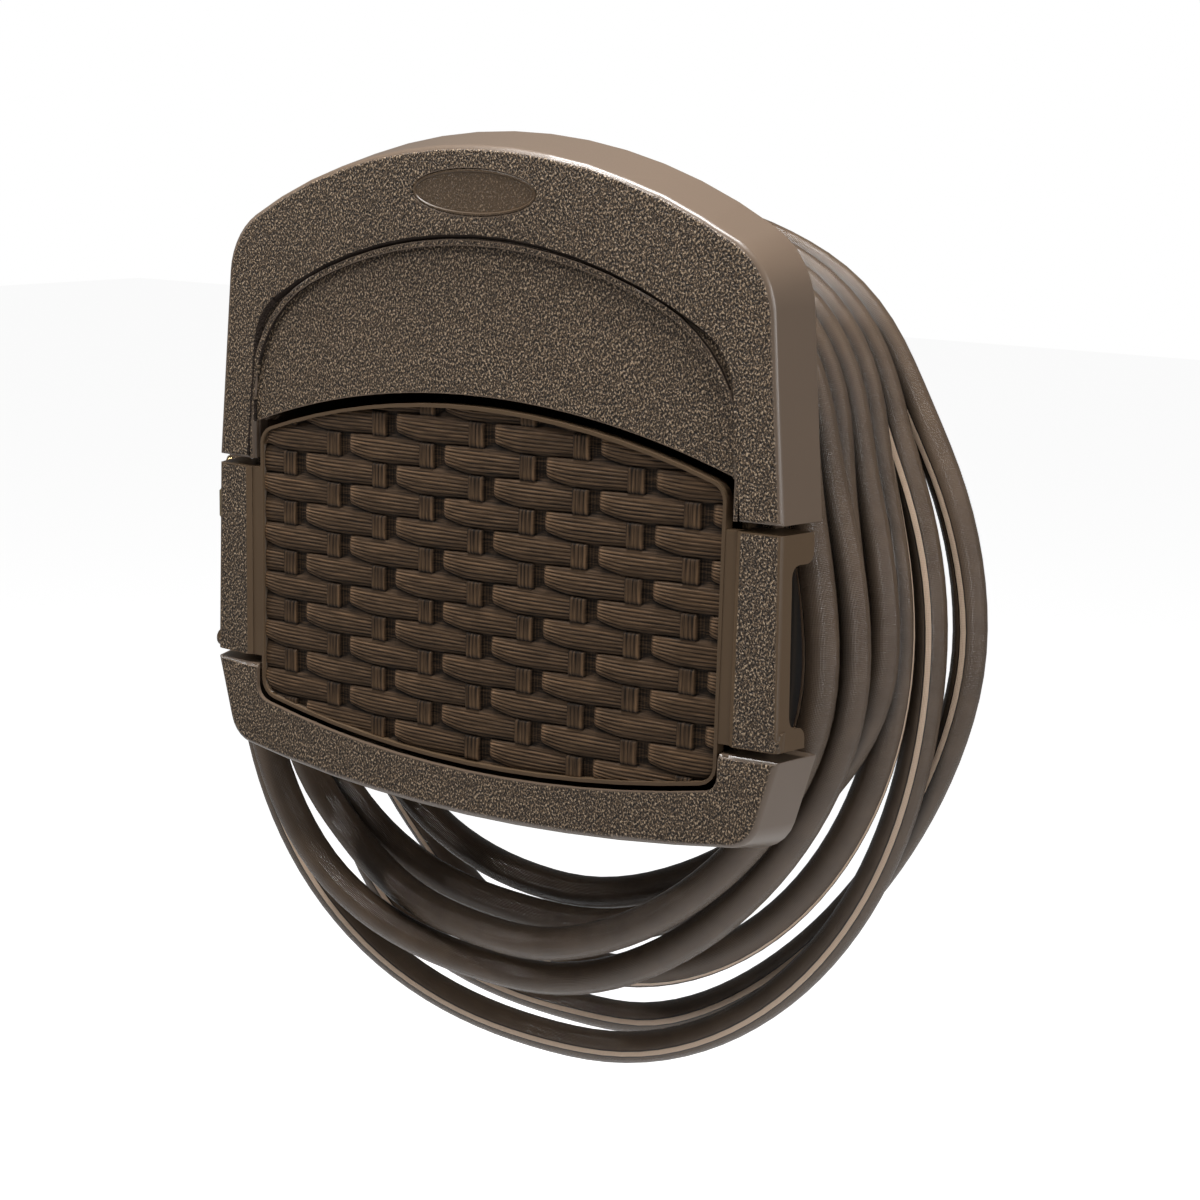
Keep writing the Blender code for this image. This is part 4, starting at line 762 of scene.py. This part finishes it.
def brushed_metal(name, colour, roughness, scratch=(30.0, 30.0, 900.0)):
    """Turned or drawn metal with fine marks along one way and a little dulling."""
    made, g, shader = new_material(name, colour, roughness, 1.0)
    place = g.node("ShaderNodeTexCoord").outputs["Object"]
    scratches = g.spread_noise(place, scratch, 3.0)
    dull = g.noise(place, 120.0, 4.0)
    worn = g.mix(g.ramp(dull, 0.35, 0.7), rgba(colour), rgba(colour, 0.72))
    rough = g.ramp(scratches, 0.3, 0.7, roughness * 0.8, roughness * 1.3)
    g.feed(shader, {"Base Color": worn, "Roughness": rough})
    bump(g, shader, scratches, 0.00004, 0.6)
    return made


def seal_rubber():
    """Dull dark rubber with a little dust."""
    made, g, shader = new_material("seal_rubber", (0.025, 0.025, 0.025), 0.7)
    dust = g.noise(g.node("ShaderNodeTexCoord").outputs["Object"], 300.0, 3.0)
    dark, dusty = (0.018, 0.018, 0.018, 1.0), (0.04, 0.038, 0.036, 1.0)
    tone = g.mix(g.ramp(dust, 0.3, 0.7), dark, dusty)
    g.feed(shader, {"Base Color": tone, "Roughness": g.ramp(dust, 0.3, 0.7, 0.62, 0.8)})
    return made


# Operators, one for each piece or group of like pieces


class HANGER_OT_stage(bpy.types.Operator):
    """Camera, lamps, world and floor"""

    bl_idname = "hanger.stage"
    bl_label = "Stage"

    def execute(self, context):
        settings = context.scene.hanger_stage
        self.place_camera(context)
        for lamp in LAMPS:
            self.hang_lamp(*lamp)
        self.light_world(context, settings.world_light)
        self.lay_floor(settings.floor_drop)
        context.scene.view_settings.view_transform = "Standard"
        return {"FINISHED"}

    def place_camera(self, context):
        data = bpy.data.cameras.new("camera")
        data.lens, data.sensor_width = CAMERA_LENS, CAMERA_SENSOR
        data.clip_start, data.clip_end = 0.05, 60.0
        camera = placed("camera", data)
        right, up = Vector(CAMERA_RIGHT).normalized(), Vector(CAMERA_UP).normalized()
        turn = Matrix((right, up, right.cross(up))).transposed().to_4x4()
        camera.matrix_world = Matrix.Translation(CAMERA_SPOT) @ turn
        context.scene.camera = camera

    def hang_lamp(self, name, spot, aim, size, power):
        light = bpy.data.lights.new(name, "AREA")
        light.shape = "RECTANGLE"
        light.size, light.size_y = size
        light.energy = power
        lamp = placed(name, light)
        lamp.location = spot
        lamp.rotation_euler = (Vector(aim) - Vector(spot)).to_track_quat("-Z", "Y").to_euler()

    def light_world(self, context, level):
        """A world that looks white and lights the scene at its own level."""
        world = bpy.data.worlds.new("studio")
        context.scene.world = world
        world.use_nodes = True
        g = Graph(world.node_tree)
        background = world.node_tree.nodes["Background"]
        ray = g.node("ShaderNodeLightPath")
        seen = g.math("MAXIMUM", ray.outputs["Is Camera Ray"], ray.outputs["Is Transmission Ray"])
        shine = g.ramp(seen, 0.0, 1.0, level, 1.0)
        g.feed(background, {"Color": (1.0, 1.0, 1.0, 1.0), "Strength": shine})

    def lay_floor(self, height):
        """A floor that looks nearly white and keeps the shadow."""
        bm = bmesh.new()
        bmesh.ops.create_grid(bm, x_segments=1, y_segments=1, size=FLOOR_HALF)
        bmesh.ops.translate(bm, vec=(0.0, 0.0, height), verts=bm.verts)
        mesh = mesh_from(bm, "floor")
        made, g, shader = new_material("pale_floor", (0.93, 0.93, 0.93), 0.9)
        ray = g.node("ShaderNodeLightPath")
        output = made.node_tree.nodes["Material Output"]
        glow = g.node("ShaderNodeEmission", {
            "Color": (1.0, 1.0, 1.0, 1.0),
            "Strength": g.math("MULTIPLY", ray.outputs["Is Camera Ray"], FLOOR_GLOW)})
        blend = g.node("ShaderNodeAddShader", {0: shader.outputs[0], 1: glow.outputs[0]})
        g.feed(output, {"Surface": blend.outputs[0]})
        mesh.materials.append(made)
        floor = placed("floor", mesh)


class HANGER_OT_hose(bpy.types.Operator):
    """The garden hose, wound over the hub"""

    bl_idname = "hanger.hose"
    bl_label = "Hose"

    def execute(self, context):
        settings = context.scene.hanger_hose
        route = hose_route(settings.loop_points)
        curve = bpy.data.curves.new("hose_line", "CURVE")
        curve.dimensions = "3D"
        curve.bevel_depth = HOSE_RADIUS
        curve.bevel_resolution = settings.sides // 2 - 2
        curve.use_fill_caps = True
        spline = curve.splines.new("POLY")
        spline.points.add(len(route) - 1)
        for point, spot in zip(spline.points, route):
            point.co = (*spot, 1.0)
        source = placed("hose_line", curve)
        shown = source.evaluated_get(context.evaluated_depsgraph_get())
        mesh = bpy.data.meshes.new_from_object(shown)
        bpy.data.objects.remove(source)
        mesh.name = "garden_hose"
        self.lay_out(mesh, route)
        self.mark_grooves(mesh, route, settings.loop_points)
        mesh.shade_smooth()
        mesh.set_sharp_from_angle(angle=math.radians(40))
        mesh.materials.clear()
        mesh.materials.append(hose_vinyl())
        piece = placed("garden_hose", mesh)
        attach(piece, "hanger")
        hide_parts("hose")
        return {"FINISHED"}

    def mark_grooves(self, mesh, route, loop_points):
        """Mark how open each spot is, from 0 where it meets another turn to 1 where it is free; the
        vinyl is painted dark as shade where it is shut.
        """
        points = mesh_points(mesh)
        sides = len(points) // len(route)
        open_share = np.ones(len(points))
        for station in range(len(route)):
            ring = slice(station * sides, (station + 1) * sides)
            others = np.abs(np.arange(len(route)) - station) > loop_points // 3
            away = np.linalg.norm(points[ring, None, :] - route[None, others, :], axis=2).min(axis=1)
            open_share[ring] = np.clip((away - GROOVE_SHUT) / (GROOVE_OPEN - GROOVE_SHUT), 0.0, 1.0)
        layer = mesh.attributes.new("groove", "FLOAT", "POINT")
        layer.data.foreach_set("value", open_share)

    def lay_out(self, mesh, route):
        """A map with the way round the hose from 0 to 1, its stripe at a half, and metres along."""
        tangent = np.gradient(route, axis=0)
        tangent /= np.linalg.norm(tangent, axis=1)[:, None]
        forward = np.array(STRIPE_FACING) / np.linalg.norm(STRIPE_FACING)
        first = forward - (tangent @ forward)[:, None] * tangent
        first /= np.linalg.norm(first, axis=1)[:, None]
        second = np.cross(tangent, first)
        along = way_along(route)
        points = mesh_points(mesh)
        sides = len(points) // len(route)
        station = np.minimum(np.arange(len(points)) // sides, len(route) - 1)
        cap = np.arange(len(points)) >= sides * len(route)
        nearer = np.linalg.norm(points - route[0], axis=1) < np.linalg.norm(points - route[-1], axis=1)
        station[cap & nearer] = 0
        away = points - route[station]
        turn = np.arctan2((away * second[station]).sum(1), (away * first[station]).sum(1))
        share = along / along[-1] * len(HOSE_LANES)
        twist = np.interp(share, [k[0] for k in STRIPE_KEYS], [math.radians(k[1]) for k in STRIPE_KEYS])
        u = ((turn - twist[station]) / math.tau + 0.5) % 1.0
        corner = np.zeros(len(mesh.loops), dtype=int)
        mesh.loops.foreach_get("vertex_index", corner)
        start = np.zeros(len(mesh.polygons), dtype=int)
        mesh.polygons.foreach_get("loop_start", start)
        face = np.zeros(len(mesh.loops), dtype=int)
        face[start[1:]] = 1
        face = np.cumsum(face)
        loop_u = u[corner]
        high = np.full(len(mesh.polygons), -1.0)
        low = np.full(len(mesh.polygons), 2.0)
        np.maximum.at(high, face, loop_u)
        np.minimum.at(low, face, loop_u)
        wraps = (high - low)[face] > 0.5
        loop_u = np.where(wraps & (loop_u < 0.5), loop_u + 1.0, loop_u)
        layer = mesh.uv_layers.get("run") or mesh.uv_layers.new(name="run")
        layer.data.foreach_set("uv", np.stack([loop_u, along[station][corner]], axis=1).ravel())
        mesh.uv_layers.active = layer


class HANGER_OT_front_frame(bpy.types.Operator):
    """The moulded hood, lower bar and side posts"""

    bl_idname = "hanger.front_frame"
    bl_label = "Front frame"

    def execute(self, context):
        made = resin("hood_resin", resin_colour(), 1.0, 0.35)
        bm = carved(carved(merged_copy("front_frame"), opening_tool()), badge_rings(BADGE_RECESS))
        marked(bm, "step", arch_step)
        weighted(finished(bm, "hood_and_bar", made, "hanger", ["front_frame"]))
        plain = resin("plain_resin", resin_colour(0.72), 0.25)
        weighted(finished(badge_rings(BADGE_PAD), "oval_pad", plain, "hanger"))
        return {"FINISHED"}


class HANGER_OT_door_frame(bpy.types.Operator):
    """The door's side grips and panel tray"""

    bl_idname = "hanger.door_frame"
    bl_label = "Door frame"

    def execute(self, context):
        # Painted shade: the grips and tray take a darker share of the resin colour
        made = resin("door_shaded_resin", resin_colour(0.92))
        bm = marked(merged_copy("door_frame"), "smooth", tray_face)
        weighted(finished(bm, "grips_and_tray", made, "door", ["door_frame"]))
        return {"FINISHED"}


def panel_edge(x, top):
    """Height of the panel's curved edge at x, with its rounded corners, for a row of x."""
    crown, radius = (PANEL_TOP, PANEL_TOP_RADIUS) if top else (-PANEL_BOTTOM, PANEL_BOTTOM_RADIUS)
    inset = PANEL_HALF - PANEL_CORNER
    level = crown - radius + np.sqrt((radius - PANEL_CORNER) ** 2 - inset ** 2)
    arc = crown - radius + np.sqrt(radius ** 2 - x ** 2)
    reach = np.clip(np.abs(x) - inset, 0.0, PANEL_CORNER)
    corner = level + np.sqrt(PANEL_CORNER ** 2 - reach ** 2)
    meet = inset * radius / (radius - PANEL_CORNER)
    edge = np.where(np.abs(x) < meet, arc, corner)
    return edge if top else -edge


def weave_columns(settings):
    """Where the mesh of the weave has its columns, closer together on and beside the stakes."""
    pitch, width = settings.stake_pitch, settings.stake_width
    count = settings.stake_strands * STRAND_STEPS
    reach = math.ceil(PANEL_HALF / pitch) + 1
    spots = []
    for i in range(-reach, reach + 1):
        spots += [i * pitch + width * (k / count - 0.5) for k in range(count + 1)]
        spots += [i * pitch + width / 2 + (pitch - width) * share for share in WEFT_SHARES]
    spots = sorted(s + WEAVE_SPOT[0] for s in spots)
    inner = [s for s in spots if abs(s) < PANEL_HALF - EDGE_MARGIN]
    return np.array([-PANEL_HALF, *inner, PANEL_HALF])


def weft_row(settings, start, t):
    """Lift and painted shade of the woven bands along a row, by the way from the last stake: painted
    dark in the pocket and between the bands, darker towards the next stake, painted highlights on the
    strands' crests and tips, lighter towards the top.
    """
    run = 2 * settings.stake_pitch - settings.stake_width
    crest = np.sin(np.clip((start - POCKET_END) / STRAND_END, 0.0, 1.0) * math.pi / 2)
    fall = np.clip((start - POCKET_END) / (run - POCKET_END), 0.0, 1.0)
    strand = abs(math.sin(math.pi * (t + 1) / 2 * settings.band_strands))
    groove = 1 - abs(t) ** 7
    lift = POCKET_LIFT + (WEFT_LIFT - POCKET_LIFT) * crest - WEFT_FALL * fall ** 2
    lift += STRAND_GROOVE * (strand ** 0.5 - 1) * (0.4 + 0.6 * crest) - BAND_GROOVE * (1 - groove)
    lift -= BAND_DOME * t ** 2 * crest
    shown = POCKET_SHADE + (FRONT_SHADE - FAR_SHADE * fall ** 0.7) * crest
    tip_glint = np.clip(1 - abs(start - POCKET_END - TIP_GLINT_SPOT) / TIP_GLINT_HALF, 0.0, 1.0)
    glint = GLINT_SHADE * strand ** 6 + TIP_GLINT_SHADE * tip_glint
    threads = THREAD_SHADE * np.sin(math.pi * start / POCKET_LINES) ** 4 * (1 - crest)
    bright = shown * (SIDE_SHADE + CREST_SHADE * strand ** 0.7 + glint)
    return lift, (bright + BAND_SHADE * t * crest + threads) * groove


def stake_row(settings, start, t):
    """Lift and painted shade of the stakes along a row: painted shadow at their tops and ends under the
    bands, painted highlights on their strands and right edge.
    """
    width = settings.stake_width
    off = (start - 2 * settings.stake_pitch + width / 2) / width
    ridge = np.abs(np.sin(math.pi * (off + 0.5) * settings.stake_strands))
    lift = STAKE_LIFT + STAKE_GROOVE * (ridge ** 0.5 - 1) - STAKE_ROUNDING * abs(t) ** 9
    shade = STAKE_SHADE - STAKE_FALL * t + STAKE_CREST * ridge ** 0.5 + STAKE_EDGE * (off > 0.40)
    return lift, shade * (1 - abs(t) ** 9)


def row_heights(settings, woven, start, over, j, t):
    """Heights along a row of band j, whose strands fan out where they leave a pocket."""
    fan = np.where(over, 0.0, FAN_DROP * (1 - np.clip((start - POCKET_END) / FAN_RUN, 0.0, 1.0)) ** 2)
    fan *= np.clip(start / POCKET_END, 0.0, 1.0)
    bow = WEFT_BOW * np.cos(math.pi * (woven / settings.stake_pitch + j))
    share = 0.5 + 0.5 * t
    spread = (2 * (fan + (1 - fan) * share) - 1) * (settings.band_pitch / 2 + bow)
    return WEAVE_SPOT[1] + j * settings.band_pitch + spread


def weave(settings):
    """Columns of the weave, and the height, lift, painted shade and stake share of each row."""
    pitch, width = settings.stake_pitch, settings.stake_width
    x = weave_columns(settings)
    woven = x - WEAVE_SPOT[0]
    rows = settings.band_strands * STRAND_STEPS
    bands = math.ceil((WEAVE_HALF_HEIGHT + WEAVE_SPOT[1]) / settings.band_pitch)
    made = []
    for j in range(-bands, bands + 1):
        start = ((woven - width / 2) / pitch + (j + 1)) % 2 * pitch
        over = start >= 2 * pitch - width - 1e-7
        for k in range(rows):
            t = k / rows * 2 - 1
            weft, stake = weft_row(settings, start, t), stake_row(settings, start, t)
            lift, shade = (np.where(over, s, w) for s, w in zip(stake, weft))
            made.append((row_heights(settings, woven, start, over, j, t), lift, shade, over))
    return x, *(np.array(values) for values in zip(*made))


def woven_face(x, z, depth, shade, stakes):
    """The woven face, cut to the panel's curved outline, with its painted shade and stakes as
    attributes.
    """
    low, high = panel_edge(x, False), panel_edge(x, True)
    inside = (z > low) & (z < high)
    z = np.clip(z, low, high)
    bm = bmesh.new()
    bmesh.ops.create_grid(bm, x_segments=len(x) - 1, y_segments=len(z) - 1, size=1.0)
    bm.verts.index_update()
    # Painted shade of the weave, which the wicker's colour follows
    painted_weave_shades = bm.verts.layers.float.new("painted_weave_shade")
    uprights = bm.verts.layers.float.new("upright")
    ordered = sorted(bm.verts, key=lambda v: (round(v.co.y, 6), round(v.co.x, 6)))
    kept = set()
    for place, vertex in enumerate(ordered):
        row, column = divmod(place, len(x))
        vertex.co = (x[column], depth[row, column] - DEPTH, z[row, column])
        vertex[painted_weave_shades] = shade[row, column]
        vertex[uprights] = stakes[row, column]
        if inside[row, column]:
            kept.add(vertex.index)
    gone = [f for f in bm.faces if not any(v.index in kept for v in f.verts)]
    bmesh.ops.delete(bm, geom=gone, context="FACES")
    bmesh.ops.remove_doubles(bm, verts=bm.verts, dist=2e-6)
    bmesh.ops.dissolve_degenerate(bm, edges=bm.edges, dist=1e-6)
    return bm


class HANGER_OT_woven_panel(bpy.types.Operator):
    """The wicker panel: bands of strands woven over and under upright stakes"""

    bl_idname = "hanger.woven_panel"
    bl_label = "Woven panel"

    def execute(self, context):
        x, z, lift, shade, stakes = weave(context.scene.hanger_weave)
        depth = PANEL_FACE_DEPTH - np.clip(lift, *LIFT_LIMITS)
        bm = woven_face(x, z, depth + sweep_shift(x[None, :], depth), shade, stakes)
        rim = [e for e in bm.edges if e.is_boundary]
        sides = bmesh.ops.extrude_edge_only(bm, edges=rim)["geom"]
        for vertex in (v for v in sides if isinstance(v, bmesh.types.BMVert)):
            back = PANEL_BACK_DEPTH + float(sweep_shift(vertex.co.x, PANEL_BACK_DEPTH))
            vertex.co.y = back - DEPTH
        bmesh.ops.holes_fill(bm, edges=[e for e in bm.edges if e.is_boundary], sides=0)
        bmesh.ops.recalc_face_normals(bm, faces=bm.faces)
        finished(bm, "wicker_panel", wicker_resin(), "door", ["woven_panel"], 60.0)
        return {"FINISHED"}


class HANGER_OT_storage_bin(bpy.types.Operator):
    """The bin on the back of the door"""

    bl_idname = "hanger.storage_bin"
    bl_label = "Storage bin"

    def execute(self, context):
        bm = merged_copy("storage_bin")
        weighted(finished(bm, "tool_bin", hidden_shaded_resin(), "door", ["storage_bin"]))
        return {"FINISHED"}


class HANGER_OT_hub(bpy.types.Operator):
    """The hub that carries the hose, and its wall plate"""

    bl_idname = "hanger.hub"
    bl_label = "Hub and wall plate"

    def execute(self, context):
        for name, node in (("hose_hub", "hub_shell"), ("back_plate", "wall_plate")):
            weighted(finished(merged_copy(node), name, hidden_shaded_resin(), "hanger", [node]))
        return {"FINISHED"}


class HANGER_OT_fasteners(bpy.types.Operator):
    """Screws and hinge pins"""

    bl_idname = "hanger.fasteners"
    bl_label = "Screws and pins"

    def execute(self, context):
        steel = brushed_metal("zinc_steel", (0.55, 0.54, 0.52), 0.34)
        for name, node in NODES.items():
            if "screw" in name or "pin" in name:
                node.data.materials.clear()
                node.data.materials.append(steel)
        return {"FINISHED"}


class HANGER_OT_couplings(bpy.types.Operator):
    """The hose's brass ends, screwed together"""

    bl_idname = "hanger.couplings"
    bl_label = "Couplings"

    def execute(self, context):
        brass = brushed_metal("turned_brass", (0.72, 0.55, 0.28), 0.30, (20.0, 20.0, 1500.0))
        for name in COUPLING_PIECES:
            NODES[name].data.materials.clear()
            NODES[name].data.materials.append(seal_rubber() if name == "hose_washer" else brass)
        return {"FINISHED"}


class HANGER_PT_panel(bpy.types.Panel):
    """Buttons for each piece of the hanger"""

    bl_idname = "HANGER_PT_panel"
    bl_label = "Hose hanger"
    bl_space_type = "VIEW_3D"
    bl_region_type = "UI"
    bl_category = "Hose hanger"

    def draw(self, context):
        for operator in OPERATORS:
            self.layout.operator(operator.bl_idname)


OPERATORS = (
    HANGER_OT_stage, HANGER_OT_couplings, HANGER_OT_hose, HANGER_OT_front_frame, HANGER_OT_door_frame,
    HANGER_OT_woven_panel, HANGER_OT_storage_bin, HANGER_OT_hub, HANGER_OT_fasteners,
)
SETTINGS = (
    ("hanger_resin", HangerResin), ("hanger_weave", HangerWeave), ("hanger_hose", HangerHose),
    ("hanger_stage", HangerStage),
)


def register():
    for name, group in SETTINGS:
        bpy.utils.register_class(group)
        setattr(bpy.types.Scene, name, PointerProperty(type=group))
    for item in (*OPERATORS, HANGER_PT_panel):
        bpy.utils.register_class(item)


def unregister():
    for item in (*OPERATORS, HANGER_PT_panel):
        bpy.utils.unregister_class(item)
    for name, group in SETTINGS:
        delattr(bpy.types.Scene, name)
        bpy.utils.unregister_class(group)


def main():
    register()
    bpy.ops.hanger.stage()
    bpy.ops.hanger.couplings()
    bpy.ops.hanger.hose()
    bpy.ops.hanger.front_frame()
    bpy.ops.hanger.door_frame()
    bpy.ops.hanger.woven_panel()
    bpy.ops.hanger.storage_bin()
    bpy.ops.hanger.hub()
    bpy.ops.hanger.fasteners()
    bpy.context.view_layer.update()


if __name__ == "__main__":
    main()
